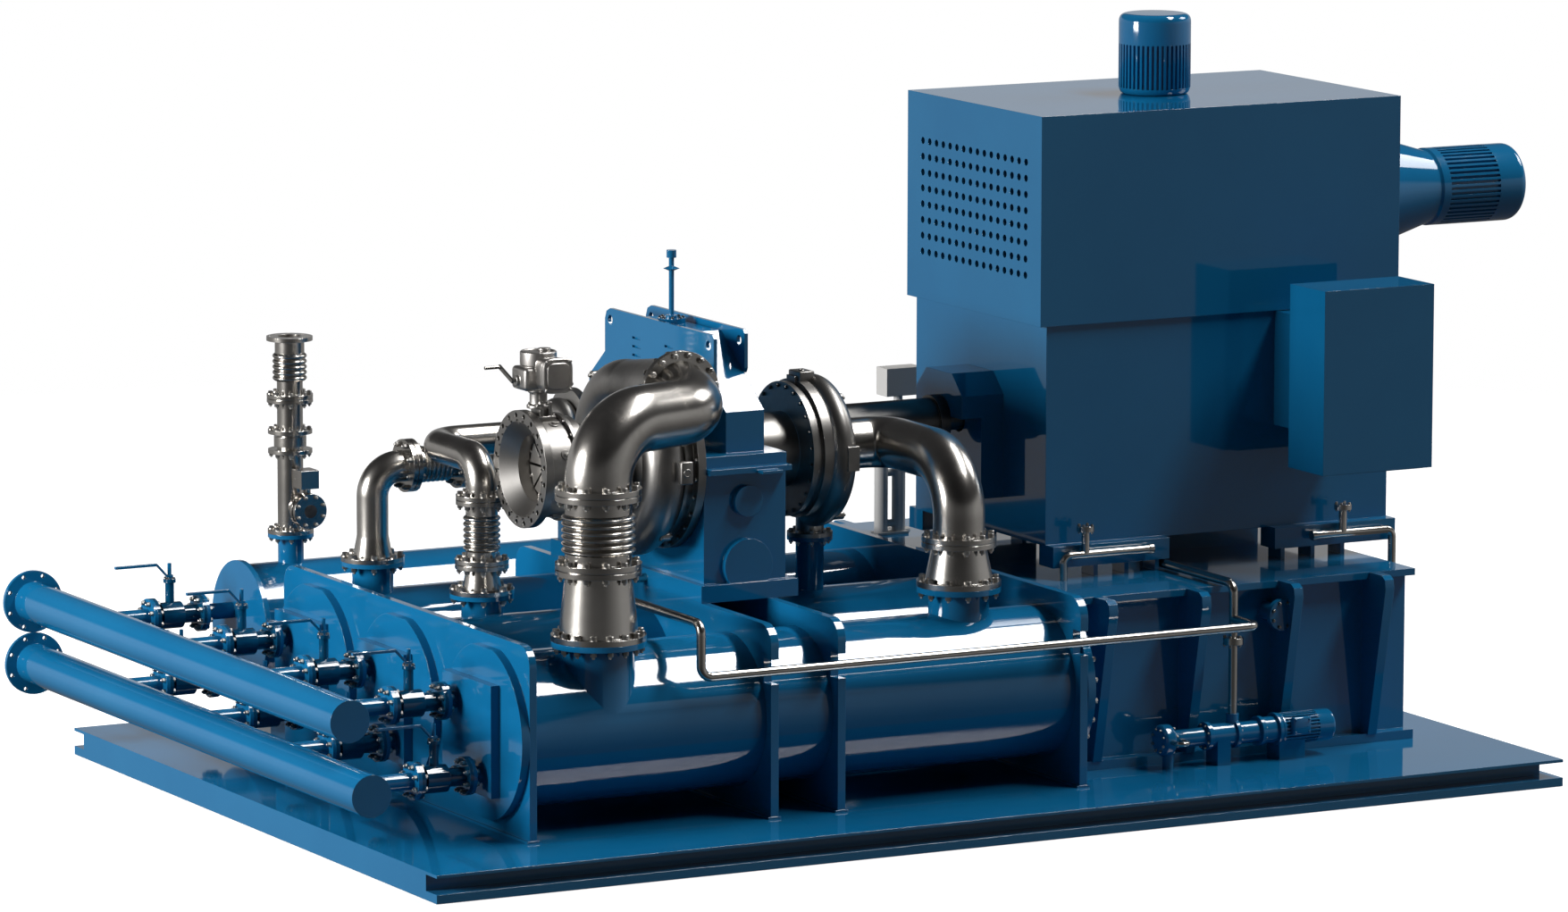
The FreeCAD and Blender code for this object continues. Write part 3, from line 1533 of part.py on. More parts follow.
# Vent stack on the rear vessel: side valve with its actuator, wafer valve, bellows and top flange.
x, y, top = vent[:3]
body = join(
    rod("z", x, y, top, 22, 125),
    rod("z", x, y, top, 1054, 70),
    rod("y", x + 20, y - 200, 1345, 200, 60),
    rod("y", x + 20, y - 215, 1345, 24, 95),
    rod("y", x + 20, y - 175, 1345, 24, 95),
    box((x - 25, x + 70), (y - 200, y - 90), (1395, 1420)),
    rod("z", x + 20, y - 145, 1400, 80, 30),
    box((x - 30, x + 75), (y - 205, y - 85), (1465, 1565)),
    rod("z", x, y, 1640, 22, 120),
    rod("z", x, y, 1678, 53, 88),
    rod("z", x, y, 1747, 22, 120),
    *flange_pair("z", x, y, 1940, 125, 44),
    feature(bellows("z", x, y, 2035, 150, 92, 12, 5)),
    rod("z", x, y, 2185, 91, 80),
    rod("z", x, y, 2254, 22, 125),
)
holes = ring_of(8, sized(105), lambda u, v: rod("z", x + u, y + v, 2250, 40, 9))
bore = rod("z", x, y, 2276 - 160, 200, 62)
node(cut(body, bore, *holes), "vent_stack")

# Coupling guard between the gearbox and the motor, with the two coupling hubs inside it.
guard = cut(
    join(
        rod("x", s.case_right, 0, shaft_height, s.drive_end_left - s.case_right, s.guard_radius),
        rod("x", s.drive_end_left - 60, 0, shaft_height, 60, s.guard_ring),
    ),
    rod(
        "x", s.case_right - 5, 0, shaft_height, s.drive_end_left - s.case_right + 10,
        s.guard_radius - s.guard_wall,
    ),
)
node(guard, "coupling_guard")

# Motor housing: body with the rotor's bore, chamfered drive end and two pairs of foot beams.
top = s.drive_end_top
wide = s.drive_end_half
cham = s.drive_end_chamfer
drive_outline = [
    (-wide, s.drive_end_low),
    (-wide, top - cham),
    (cham - wide, top),
    (wide - cham, top),
    (wide, top - cham),
    (wide, s.drive_end_low),
]
motor_parts = [
    box((s.motor_left, s.motor_right), (-s.motor_half, s.motor_half), (s.motor_bottom, s.motor_top)),
    feature(prism(drive_outline, "x", s.drive_end_left, s.motor_left - s.drive_end_left + 5)),
    box(
        (s.drive_end_left + 120, s.motor_left + 5),
        (-wide, wide),
        (s.motor_bottom + 200, s.drive_end_low + 10),
    ),
]
foot_spans = ((s.motor_left + 4, s.motor_left + 724), (s.motor_right - 755, s.motor_right + 10))
for span in foot_spans:
    for near, far in (
        (-s.motor_foot_front, -s.motor_foot_back),
        (s.motor_foot_back, s.motor_foot_front),
    ):
        motor_parts.append(box(span, (near, far), (s.motor_foot_bottom, s.motor_bottom + 5)))
room = rod(
    "x", s.rotor_left - s.rotor_gap, 0, shaft_height,
    s.rotor_right - s.rotor_left + s.rotor_gap * 2, s.rotor_radius + s.rotor_gap,
)
shaft_bore = rod(
    "x", s.drive_end_left - 5, 0, shaft_height,
    s.rotor_left - s.drive_end_left + 10, s.main_shaft_radius + s.shaft_play,
)
open_front = rod(
    "x", s.drive_end_left - 5, 0, shaft_height, s.motor_left - s.drive_end_left + 5, s.main_shaft_radius + 12
)
tail_bore = rod("x", s.rotor_right, 0, shaft_height, 200, s.main_shaft_radius + s.shaft_play)
node(cut(join(*motor_parts), room, shaft_bore, open_front, tail_bore), "motor_housing")
rotor = join(
    rod(
        "x", s.coupling_plane, 0, shaft_height, s.rotor_right - s.coupling_plane + 180, s.main_shaft_radius
    ),
    rod("x", s.coupling_plane, 0, shaft_height, s.coupling_length, s.coupling_radius),
    rod("x", s.rotor_left, 0, shaft_height, s.rotor_right - s.rotor_left, s.rotor_radius),
)
node(rotor, "motor_rotor")

# Cooler hood on the motor: an open-bottomed shell with the two fans' shaft openings.
panel_holes = []
for column in range(int(s.panel_columns.value)):
    for row in range(int(s.panel_rows.value)):
        panel_holes.append(
            Part.makeCylinder(
                s.panel_hole.value,
                s.hood_wall.value + 4,
                vec(
                    s.hood_left - 2, s.panel_first + s.panel_pitch * column, s.panel_low + s.panel_rise * row
                ),
                vec(1, 0, 0),
            )
        )
hood = cut(
    box((s.hood_left, s.hood_right), (-s.hood_half, s.hood_half), (s.motor_top, s.hood_top)),
    box(
        (s.hood_left + s.hood_wall, s.hood_right - s.hood_wall),
        (s.hood_wall - s.hood_half, s.hood_half - s.hood_wall),
        (s.motor_top - 5, s.hood_top - s.hood_wall),
    ),
    rod("z", s.top_fan_x, 0, s.hood_top - s.hood_wall - 5, s.hood_wall + 10, s.fan_shaft_radius + 15),
    rod("x", s.hood_right - s.hood_wall - 5, 0, s.end_fan_height, s.hood_wall + 10, s.fan_shaft_radius + 15),
    feature(Part.makeCompound(panel_holes)),
)
node(hood, "motor_hood")

# Junction box on a short duct in front of the motor.
duct = box(
    (s.junction_left + 110, s.junction_right - 110),
    (s.junction_back - 5, -s.motor_half),
    (s.junction_low + 180, s.motor_top - 4),
)
junction = join(
    box(
        (s.junction_left, s.junction_right),
        (s.junction_front, s.junction_back),
        (s.junction_low, s.junction_high),
    ),
    box(
        (s.junction_left + 90, s.junction_right - 20),
        (s.junction_front + 60, s.junction_back - 20),
        (s.junction_low - s.junction_gland, s.junction_low + 5),
    ),
    duct,
)
node(junction, "junction_box")

# Fan motors: one upright on the hood's roof, one lying on a long cone at the hood's end.
top_motor = turned(
    [
        (0, 45),
        (0, s.top_fan_radius + 40),
        (14, s.top_fan_radius + 40),
        (60, s.top_fan_radius),
        (s.top_fan_height - 30, s.top_fan_radius),
        (s.top_fan_height, s.top_fan_radius - 30),
        (s.top_fan_height, 0),
        (160, 0),
        (160, s.fan_shaft_radius + s.shaft_play),
        (30, s.fan_shaft_radius + s.shaft_play),
        (30, 45),
    ],
    "z",
    s.top_fan_x,
    0,
    s.hood_top,
)
end_length = s.end_fan_cone + s.end_fan_motor
end_motor = turned(
    [
        (0, 60),
        (0, s.end_fan_cone_radius),
        (s.end_fan_cone, s.end_fan_radius - 9),
        (s.end_fan_cone, s.end_fan_radius),
        (end_length - 50, s.end_fan_radius),
        (end_length, s.end_fan_radius - 45),
        (end_length, 0),
        (260, 0),
        (260, s.fan_shaft_radius + s.shaft_play),
        (100, s.fan_shaft_radius + s.shaft_play),
        (100, 60),
    ],
    "x",
    s.hood_right,
    0,
    s.end_fan_height,
)
node(group(feature(top_motor), feature(end_motor)), "fan_motors")


def fan(radius, shaft_reach):
    """A fan wheel under its shaft: hub, six pitched blades, round the Z axis, shaft upwards."""
    hub = Part.makeCylinder(60, 80, vec(0, 0, -80), vec(0, 0, 1))
    shaft = Part.makeCylinder(s.fan_shaft_radius.value, shaft_reach, vec(0, 0, -5), vec(0, 0, 1))
    shape = hub.fuse(shaft)
    for number in range(6):
        blade = Part.makeBox(radius - 50, 90, 6, vec(50, -45, -3))
        blade.rotate(FreeCAD.Vector(), FreeCAD.Vector(1, 0, 0), 30)
        blade.translate(vec(0, 0, -40))
        blade.rotate(FreeCAD.Vector(), FreeCAD.Vector(0, 0, 1), 60 * number)
        shape = shape.fuse(blade)
    return shape


top_fan = fan(300, 190)
top_fan.translate(vec(s.top_fan_x, 0, s.hood_top - s.hood_wall - 60))
node(feature(top_fan), "top_fan_rotor")
end_fan = fan(300, 290)
end_fan.rotate(FreeCAD.Vector(), FreeCAD.Vector(0, 1, 0), 90)
end_fan.translate(vec(s.hood_right - s.hood_wall - 80, 0, s.end_fan_height))
node(feature(end_fan), "end_fan_rotor")

# Support frame: oil tank on a base plate, deck on top, tapered ribs and posts under the motor feet.
frame_parts = [
    box((s.tank_left, s.tank_right), (-s.tank_half, s.tank_half), (s.skid_height, s.deck_low + 5)),
    box(
        (s.tank_left, s.deck_right),
        (-s.deck_half, s.deck_half),
        (s.skid_height, s.skid_height + s.base_thick),
    ),
    box((s.tank_left, s.deck_right), (-s.deck_half, s.deck_half), (s.deck_low, s.deck_high)),
    rod("y", s.hatch_x, -s.tank_half - s.hatch_proud, s.hatch_height, s.hatch_proud + 5, s.hatch_radius - 30),
    rod("y", s.hatch_x, -s.tank_half - s.hatch_proud, s.hatch_height, 36, s.hatch_radius),
]
base_top = s.skid_height + s.base_thick
for number in range(int(s.rib_count.value)):
    left = s.rib_first + s.rib_pitch * number - s.rib_thick / 2
    for side in (-1, 1):
        outline = [
            (side * s.tank_half.value, base_top - 5),
            (side * s.rib_toe.value, base_top - 5),
            (side * s.rib_nose.value, s.deck_high - 70),
            (side * (s.rib_nose.value - 8), s.deck_high - 20),
            (side * (s.rib_nose.value - 40), s.deck_high),
            (side * s.tank_half.value, s.deck_high),
        ]
        frame_parts.append(feature(prism(outline, "x", left, s.rib_thick)))
for first in (s.post_first_left, s.post_first_right):
    for number in range(3):
        middle = first + s.post_pitch * number
        for near, far in (
            (-s.motor_foot_front, -s.motor_foot_back),
            (s.motor_foot_back, s.motor_foot_front),
        ):
            frame_parts.append(
                box((middle - 13, middle + 12), (near + 10, far - 10), (s.deck_high - 5, s.motor_foot_bottom))
            )
node(join(*frame_parts), "support_frame")

# Oil pump set in front of the tank: pump, lantern and motor in line on two feet.
line = s.pump_line
level = s.pump_height
pump = cut(
    join(
        rod("x", 1300, line, level, 260, 48),
        rod("x", 1548, line, level, 24, 76),
        rod("x", 1572, line, level, 150, 62),
        rod("x", 1722, line, level, 22, 78),
        rod("x", 1744, line, level, 130, 58),
        rod("x", 1874, line, level, 22, 80),
        rod("x", 1896, line, level, 340, 72),
        rod("x", 2236, line, level, 60, 78),
        rod("z", s.oil_rise_x, line, level, 110, 34),
        rod("z", 1330, line, s.skid_height, level - s.skid_height, 30),
        box((1600, 1680), (line - 60, line + 60), (s.skid_height, level)),
        box((1980, 2140), (line - 65, line + 65), (s.skid_height, level)),
    ),
    rod("x", 1600, line, level, 400, 14 + s.shaft_play),
)
node(pump, "oil_pump_set")
node(rod("x", 1602, line, level, 396, 14), "pump_rotor")

# Oil pipes: feed from the pump to the motor bearings and to the gearbox, and the two risers.
radius = s.oil_pipe_radius
feed = feature(
    pipe([(s.oil_rise_x, line, level + 110), (s.oil_rise_x, line, 1108), (s.oil_rise_x, -600, 1108)], radius, 60)
)
feed_flange = flange("z", s.oil_rise_x, line, 800, 55, 36)
long_run = feature(
    pipe(
        [
            (s.oil_rise_x, line, s.long_run_height),
            (s.oil_rise_x, s.long_run_line, s.long_run_height),
            (-1590, s.long_run_line, s.long_run_height),
            (-1590, s.long_run_line, 1195),
            (-1590, -350, 1195),
            (s.foot_left, -350, 1195),
        ],
        radius,
        60,
    )
)
riser_one = [
    feature(
        pipe(
            [(1070, s.riser_line, s.deck_high), (1070, s.riser_line, 1205), (1600, s.riser_line, 1205)],
            s.riser_radius,
            44,
        )
    ),
    rod("x", 1596, s.riser_line, 1205, 25, s.riser_radius + 5),
    rod("z", 1205, s.riser_line, 1205, 140, s.riser_radius),
    flange("z", 1205, s.riser_line, 1345, 48, 30),
]
riser_two = [
    feature(
        pipe(
            [
                (s.tank_right, s.riser_line, 700),
                (3134, s.riser_line, 700),
                (3134, s.riser_line, 1200),
                (2640, s.riser_line, 1200),
            ],
            s.riser_radius,
            44,
        )
    ),
    rod("x", 2621, s.riser_line, 1200, 25, s.riser_radius + 5),
    rod("z", 2818, s.riser_line, 1200, 145, s.riser_radius),
    flange("z", 2818, s.riser_line, 1345, 48, 30),
]
node(group(join(feed, feed_flange, long_run), join(*riser_one), join(*riser_two)), "oil_pipes")

# Oil filters behind the gearbox and the instrument box on its post, both on the deck.
filters = join(
    rod("z", 940, 950, s.deck_high, 400, 38),
    rod("z", 1050, 950, s.deck_high, 400, 38),
    rod("x", 940, 950, s.deck_high + 60, 110, 20),
    rod("x", 940, 950, s.deck_high + 340, 110, 20),
    box((900, 1090), (905, 995), (s.deck_high, s.deck_high + 14)),
)
instrument = join(
    box((997, 1217), (990, 1110), (1830, 1985)),
    rod("z", 1100, 1050, s.deck_high, 1835 - s.deck_high, 25),
    rod("z", 1100, 1050, s.deck_high, 12, 70),
)
node(group(filters, instrument), "oil_filter_unit")

doc.recompute()

# Checks before anything is written.
problems = []
for item in doc.Objects:
    if "Invalid" in item.State or "Error" in item.State:
        problems.append(item.Label + " is in state " + str(item.State))
for item in nodes:
    if item.Shape.isNull() or not item.Shape.isValid():
        problems.append(item.Label + " has no valid shape")
    elif not item.Shape.Solids:
        problems.append(item.Label + " has no solid")
if problems:
    raise RuntimeError("; ".join(problems))

os.makedirs("parts", exist_ok=True)
for item in nodes:
    item.Shape.exportStep("parts/" + item.Label + ".step")
print(len(nodes), "sub-parts written")
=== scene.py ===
import json
import math

import bmesh
import bpy
import numpy as np
from mathutils import Matrix, Vector


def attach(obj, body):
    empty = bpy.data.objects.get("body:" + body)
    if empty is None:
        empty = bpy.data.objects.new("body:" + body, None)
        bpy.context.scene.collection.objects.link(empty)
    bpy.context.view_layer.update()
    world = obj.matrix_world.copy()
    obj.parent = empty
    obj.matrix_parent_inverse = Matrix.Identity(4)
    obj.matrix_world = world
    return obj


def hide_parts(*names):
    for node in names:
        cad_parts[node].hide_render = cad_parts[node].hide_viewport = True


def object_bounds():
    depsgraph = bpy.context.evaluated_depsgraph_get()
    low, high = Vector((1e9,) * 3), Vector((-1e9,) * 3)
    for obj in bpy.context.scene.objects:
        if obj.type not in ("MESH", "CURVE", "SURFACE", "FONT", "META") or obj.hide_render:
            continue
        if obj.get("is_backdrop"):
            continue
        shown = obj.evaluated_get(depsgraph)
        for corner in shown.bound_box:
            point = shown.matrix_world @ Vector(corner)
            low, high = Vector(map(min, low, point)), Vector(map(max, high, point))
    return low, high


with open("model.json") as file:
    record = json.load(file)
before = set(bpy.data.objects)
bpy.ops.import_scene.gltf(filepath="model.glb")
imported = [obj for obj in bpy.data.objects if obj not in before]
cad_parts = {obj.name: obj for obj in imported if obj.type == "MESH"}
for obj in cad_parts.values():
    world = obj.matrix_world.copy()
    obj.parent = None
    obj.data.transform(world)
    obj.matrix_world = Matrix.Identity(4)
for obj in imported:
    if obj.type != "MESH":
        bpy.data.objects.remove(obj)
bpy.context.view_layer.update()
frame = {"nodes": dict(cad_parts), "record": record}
nodes = frame["nodes"]
print("frame loaded:", len(nodes), "nodes")

# The camera stands where the photograph's did, in the frame's own metres.
view = {
    "position": (-21.323, -39.440, 8.6195),
    "yaw": 28.20,  # degrees from +Y towards +X
    "pitch": 8.764,  # degrees below the horizon
    "roll": 0.126,  # degrees about the line of sight
    "lens": 194.87,  # mm
    "sensor": 36,  # mm
    "nearest": 1,  # metres; what is nearer than this or past the farthest isn't drawn
    "farthest": 400,
}


def makeCamera():
    yaw = math.radians(view["yaw"])
    pitch = math.radians(view["pitch"])
    level = math.cos(pitch)
    ahead = Vector((math.sin(yaw) * level, math.cos(yaw) * level, -math.sin(pitch)))
    data = bpy.data.cameras.new("photoCamera")
    data.lens = view["lens"]
    data.sensor_width = view["sensor"]
    data.clip_start = view["nearest"]
    data.clip_end = view["farthest"]
    camera = bpy.data.objects.new("photoCamera", data)
    roll = Matrix.Rotation(math.radians(view["roll"]), 3, "Z")
    turn = ahead.to_track_quat("-Z", "Y").to_matrix() @ roll
    camera.matrix_world = Matrix.Translation(view["position"]) @ turn.to_4x4()
    bpy.context.scene.collection.objects.link(camera)
    bpy.context.scene.camera = camera


makeCamera()


class Wire:
    # a node's output that takes part in sums; each operator adds one Math node
    def __init__(self, tree, socket):
        self.tree = tree
        self.socket = socket

    def sum(self, operation, first, second):
        return self.tree.add("ShaderNodeMath", {"operation": operation}, {0: first, 1: second})

    def __add__(self, other):
        return self.sum("ADD", self, other)

    def __radd__(self, other):
        return self.sum("ADD", other, self)

    def __sub__(self, other):
        return self.sum("SUBTRACT", self, other)

    def __rsub__(self, other):
        return self.sum("SUBTRACT", other, self)

    def __mul__(self, other):
        return self.sum("MULTIPLY", self, other)


# What counts as an edge and as looking up, from where it begins to where it is full.
surfaceLook = {
    "edgeTurn": (0.01, 0.25),  # 1 less the cosine of the angle that the softened normal turns by
    "upward": (0.55, 1.0),  # the upward part of the face's own normal
    "bevelSamples": 4,
}


class Finish:
    # one node tree, filled node by node
    def __init__(self, tree):
        self.tree = tree
        tree.nodes.clear()

    def add(self, kind, settings, values, output=0):
        node = self.tree.nodes.new(kind)
        for name, value in settings.items():
            if name == "stops":
                self.setStops(node.color_ramp.elements, value)
            else:
                setattr(node, name, value)
        for name, value in values.items():
            entry = node.inputs[name]
            if isinstance(value, Wire):
                self.tree.links.new(value.socket, entry)
            elif isinstance(value, tuple) and len(value) == 3 and len(entry.default_value) == 4:
                entry.default_value = (*value, 1)
            else:
                entry.default_value = value
        return Wire(self, node.outputs[output])

    def setStops(self, stops, values):
        # a new ramp has two stops, which take the first two values; the others are added
        for index, (place, colour) in enumerate(values):
            stop = stops[index] if index < 2 else stops.new(place)
            stop.position = place
            stop.color = (*colour, 1)

    def place(self, scale=(1, 1, 1)):
        spot = self.add("ShaderNodeTexCoord", {}, {}, 3)
        return self.add("ShaderNodeMapping", {}, {"Vector": spot, "Scale": Vector(scale)})

    def noise(self, place, scale, detail, roughness):
        values = {"Vector": place, "Scale": scale, "Detail": detail, "Roughness": roughness}
        return self.add("ShaderNodeTexNoise", {}, values)

    def clamp(self, wire, low, high, start=0.0, end=1.0):
        # low..high of the wire becomes start..end and stays inside it
        values = {"Value": wire, 1: low, 2: high, 3: start, 4: end}
        return self.add("ShaderNodeMapRange", {"clamp": True}, values)

    def patches(self, place, scale, detail, roughness, low, high):
        # noise of which only the part from low to high counts
        return self.clamp(self.noise(place, scale, detail, roughness), low, high)

    def mix(self, share, first, second):
        return self.add("ShaderNodeMix", {"data_type": "RGBA"}, {0: share, 6: first, 7: second}, 2)

    def edges(self, radius):
        # the softened normal, and how far it turns from the face's own: 0 on a flat, 1 on an edge
        settings = {"samples": surfaceLook["bevelSamples"]}
        rounded = self.add("ShaderNodeBevel", settings, {"Radius": radius})
        own = self.add("ShaderNodeNewGeometry", {}, {}, 1)
        settings = {"operation": "DOT_PRODUCT"}
        turned = self.add("ShaderNodeVectorMath", settings, {0: rounded, 1: own}, 1)
        return rounded, self.clamp(1 - turned, *surfaceLook["edgeTurn"])

    def upward(self):
        # 1 where the surface looks up, 0 from steep slopes on
        own = self.add("ShaderNodeNewGeometry", {}, {}, 1)
        split = self.add("ShaderNodeSeparateXYZ", {}, {"Vector": own}, 2)
        return self.clamp(split, *surfaceLook["upward"])

    def bump(self, height, strength, distance, normal=None):
        values = {"Height": height, "Strength": strength, "Distance": distance}
        if normal is not None:
            values["Normal"] = normal
        return self.add("ShaderNodeBump", {}, values)

    def surface(self, values):
        shader = self.add("ShaderNodeBsdfPrincipled", {}, values)
        end = self.tree.nodes.new("ShaderNodeOutputMaterial")
        self.tree.links.new(shader.socket, end.inputs["Surface"])


def newFinish(name):
    material = bpy.data.materials.new(name)
    material.use_nodes = True
    return material, Finish(material.node_tree)


def dimmed(colour, dim):
    return tuple(dim * c for c in colour)


# In the looks below, colours are linear. Grain is (noise scale, detail, roughness); clouds and the
# like add the band of the noise that counts. A bump is (strength, depth in metres). What ends in
# Rough is added to the roughness, and edgeRadius is in metres.
paintLook = {
    "colour": (0.0040, 0.120, 0.272),  # the deep blue of the whole package
    "fadedColour": (0.0065, 0.136, 0.296),
    "edgeColour": (0.030, 0.185, 0.370),
    "dustColour": (0.080, 0.160, 0.250),
    "roughness": 0.055,
    "index": 1.5,
    "lacquer": 0.3,  # a clear coat over the colour, with its own roughness
    "lacquerRoughness": 0.03,
    "clouds": (0.9, 5, 0.6, 0.35, 0.7),
    "cloudRough": 0.025,
    "dust": (3.1, 6, 0.65, 0.48, 0.8),
    "dustShare": 0.08,
    "dustRough": 0.7,
    "chips": (38, 4, 0.6, 0.38, 0.62),
    "chipShare": 0.45,
    "chipRough": 0.1,
    "peel": (260, 2, 0.5),
    "bump": (0.02, 0.0006),
    "edgeRadius": 0.004,
}


def paintFinish(name, dim=1.0, gloss=0.0):
    # gloss paint: slow clouds in the colour, orange peel, worn edges, some dust on what looks up
    look = paintLook
    material, tree = newFinish(name)
    place = tree.place()
    rounded, edge = tree.edges(look["edgeRadius"])
    cloud = tree.patches(place, *look["clouds"])
    base = tree.mix(cloud, dimmed(look["colour"], dim), dimmed(look["fadedColour"], dim))
    dust = tree.upward() * tree.patches(place, *look["dust"]) * look["dustShare"]
    base = tree.mix(dust, base, look["dustColour"])
    chips = edge * tree.patches(place, *look["chips"])
    base = tree.mix(chips * look["chipShare"], base, look["edgeColour"])
    rough = look["roughness"] - gloss + cloud * look["cloudRough"]
    peel = tree.noise(place, *look["peel"])
    tree.surface({
        "Base Color": base,
        "Roughness": rough + dust * look["dustRough"] + chips * look["chipRough"],
        "IOR": look["index"],
        "Coat Weight": look["lacquer"],
        "Coat Roughness": look["lacquerRoughness"],
        "Normal": tree.bump(peel, *look["bump"], rounded),
    })
    return material


steelLook = {
    "colour": (0.430, 0.408, 0.378),  # pickled stainless, slightly warm
    "paleColour": (0.540, 0.515, 0.480),
    "tintColour": (0.330, 0.295, 0.255),  # faint heat and handling marks
    "edgeColour": (0.80, 0.78, 0.75),
    "roughness": 0.20,
    "clouds": (2.3, 5, 0.6, 0.3, 0.72),
    "cloudRough": 0.06,
    "stains": (5.5, 6, 0.7, 0.56, 0.78),
    "stainShare": 0.35,
    "stainRough": 0.08,
    "grain": (120, 3, 0.6),
    "grainRough": 0.05,
    "bump": (0.06, 0.0005),
    "edgeShare": 0.4,
    "edgeRadius": 0.003,
}


def steelFinish(name, dim=1.0, rougher=0.0, stretch=(1, 1, 1)):
    # satin steel: cloudy polish, fine grain drawn out along the axis of least stretch, faint stains
    look = steelLook
    material, tree = newFinish(name)
    place = tree.place()
    rounded, edge = tree.edges(look["edgeRadius"])
    cloud = tree.patches(place, *look["clouds"])
    stain = tree.patches(place, *look["stains"])
    grain = tree.noise(tree.place(stretch), *look["grain"])
    base = tree.mix(cloud, dimmed(look["colour"], dim), dimmed(look["paleColour"], dim))
    base = tree.mix(stain * look["stainShare"], base, dimmed(look["tintColour"], dim))
    base = tree.mix(edge * look["edgeShare"], base, dimmed(look["edgeColour"], dim))
    rough = look["roughness"] + rougher + cloud * look["cloudRough"] + stain * look["stainRough"]
    tree.surface({
        "Base Color": base,
        "Metallic": 1.0,
        "Roughness": rough + (grain - 0.5) * look["grainRough"],
        "Normal": tree.bump(grain, *look["bump"], rounded),
    })
    return material


castLook = {
    "colour": (0.330, 0.318, 0.300),
    "darkColour": (0.225, 0.215, 0.205),
    "edgeColour": (0.62, 0.60, 0.57),
    "roughness": 0.33,
    "clouds": (3.4, 5, 0.6, 0.3, 0.7),
    "cloudRough": 0.08,
    "skin": (210, 3, 0.6),
    "bump": (0.18, 0.0007),
    "edgeShare": 0.5,
    "edgePolish": 0.08,  # taken off the roughness
    "edgeRadius": 0.004,
}


def castFinish(name, dim=1.0):
    # cast metal of scrolls, housings and small fittings: a fine pitted skin under a dull polish
    look = castLook
    material, tree = newFinish(name)
    place = tree.place()
    rounded, edge = tree.edges(look["edgeRadius"])
    cloud = tree.patches(place, *look["clouds"])
    skin = tree.noise(place, *look["skin"])
    base = tree.mix(cloud, dimmed(look["colour"], dim), dimmed(look["darkColour"], dim))
    tree.surface({
        "Base Color": tree.mix(edge * look["edgeShare"], base, look["edgeColour"]),
        "Metallic": 1.0,
        "Roughness": look["roughness"] + cloud * look["cloudRough"] - edge * look["edgePolish"],
        "Normal": tree.bump(skin, *look["bump"], rounded),
    })
    return material


boltLook = {
    "colour": (0.47, 0.455, 0.43),
    "darkColour": (0.20, 0.19, 0.18),
    "roughness": 0.28,
    "each": (9, 2, 0.5, 0.3, 0.7),  # coarse, so that it changes from bolt to bolt
    "smut": (95, 3, 0.6),
    "smutShare": 1.3,
    "smutRough": 0.15,
    "bump": (0.1, 0.0004),
}


def boltFinish(name, dim=1.0):
    # zinc-plated fasteners, some lighter and some darker
    look = boltLook
    material, tree = newFinish(name)
    place = tree.place()
    each = tree.patches(place, *look["each"])
    smut = tree.noise(place, *look["smut"])
    share = each * smut * look["smutShare"]
    tree.surface({
        "Base Color": tree.mix(share, dimmed(look["colour"], dim), dimmed(look["darkColour"], dim)),
        "Metallic": 1.0,
        "Roughness": look["roughness"] + smut * look["smutRough"],
        "Normal": tree.bump(smut, *look["bump"]),
    })
    return material


greyLook = {
    "colour": (0.56, 0.545, 0.52),
    "wornColour": (0.68, 0.67, 0.65),
    "paler": 1.12,  # how much lighter the clouds are
    "roughness": 0.42,
    "clouds": (4, 4, 0.6),
    "cloudRough": 0.12,
    "skin": (420, 2, 0.5),
    "bump": (0.12, 0.0005),
    "edgeShare": 0.4,
    "edgeRadius": 0.006,
}


def greyFinish(name):
    # textured grey enamel of the oil filter unit and its box
    look = greyLook
    material, tree = newFinish(name)
    place = tree.place()
    rounded, edge = tree.edges(look["edgeRadius"])
    cloud = tree.noise(place, *look["clouds"])
    skin = tree.noise(place, *look["skin"])
    base = tree.mix(cloud, look["colour"], dimmed(look["colour"], look["paler"]))
    tree.surface({
        "Base Color": tree.mix(edge * look["edgeShare"], base, look["wornColour"]),
        "Roughness": look["roughness"] + cloud * look["cloudRough"],
        "Normal": tree.bump(skin, *look["bump"], rounded),
    })
    return material


# near-black of the disc in the vent's open outlet: painted shade for its dark bore, not a rubber
# part
rubberLook = {
    "colour": (0.018, 0.018, 0.020),
    "paleColour": (0.035, 0.035, 0.037),
    "roughness": 0.62,
    "skin": (160, 3, 0.6),
    "skinRough": 0.1,
    "bump": (0.15, 0.0005),
}


def rubberFinish(name):
    # painted shade: a flat near-black finish that stands in for the shaded inside of an open pipe
    # mouth
    look = rubberLook
    material, tree = newFinish(name)
    skin = tree.noise(tree.place(), *look["skin"])
    tree.surface({
        "Base Color": tree.mix(skin, look["colour"], look["paleColour"]),
        "Roughness": look["roughness"] + skin * look["skinRough"],
        "Normal": tree.bump(skin, *look["bump"]),
    })
    return material


finishes = {
    "paint": paintFinish("gloss_blue_paint"),
    "paintDark": paintFinish("gloss_blue_paint_dark", 0.42, 0.02),
    "steel": steelFinish("satin_stainless", stretch=(1, 1, 6)),
    "steelLong": steelFinish("satin_stainless_run", rougher=-0.02, stretch=(0.15, 6, 6)),
    "cast": castFinish("cast_stainless"),
    "castDark": castFinish("dark_cast_steel", 0.42),
    "castPale": castFinish("blasted_aluminium", 1.5),
    "blade": steelFinish("blade_steel", 1.2, 0.12, (8, 8, 1)),
    "bolt": boltFinish("zinc_fasteners"),
    "boltDark": boltFinish("oiled_fasteners", 0.5),
    "shaft": steelFinish("turned_shaft_steel", 0.62, 0.06, (0.3, 9, 9)),
    "grey": greyFinish("grey_enamel"),
    "paintedShade": rubberFinish("painted_shade_black"),
}
print("finishes made:", len(finishes))

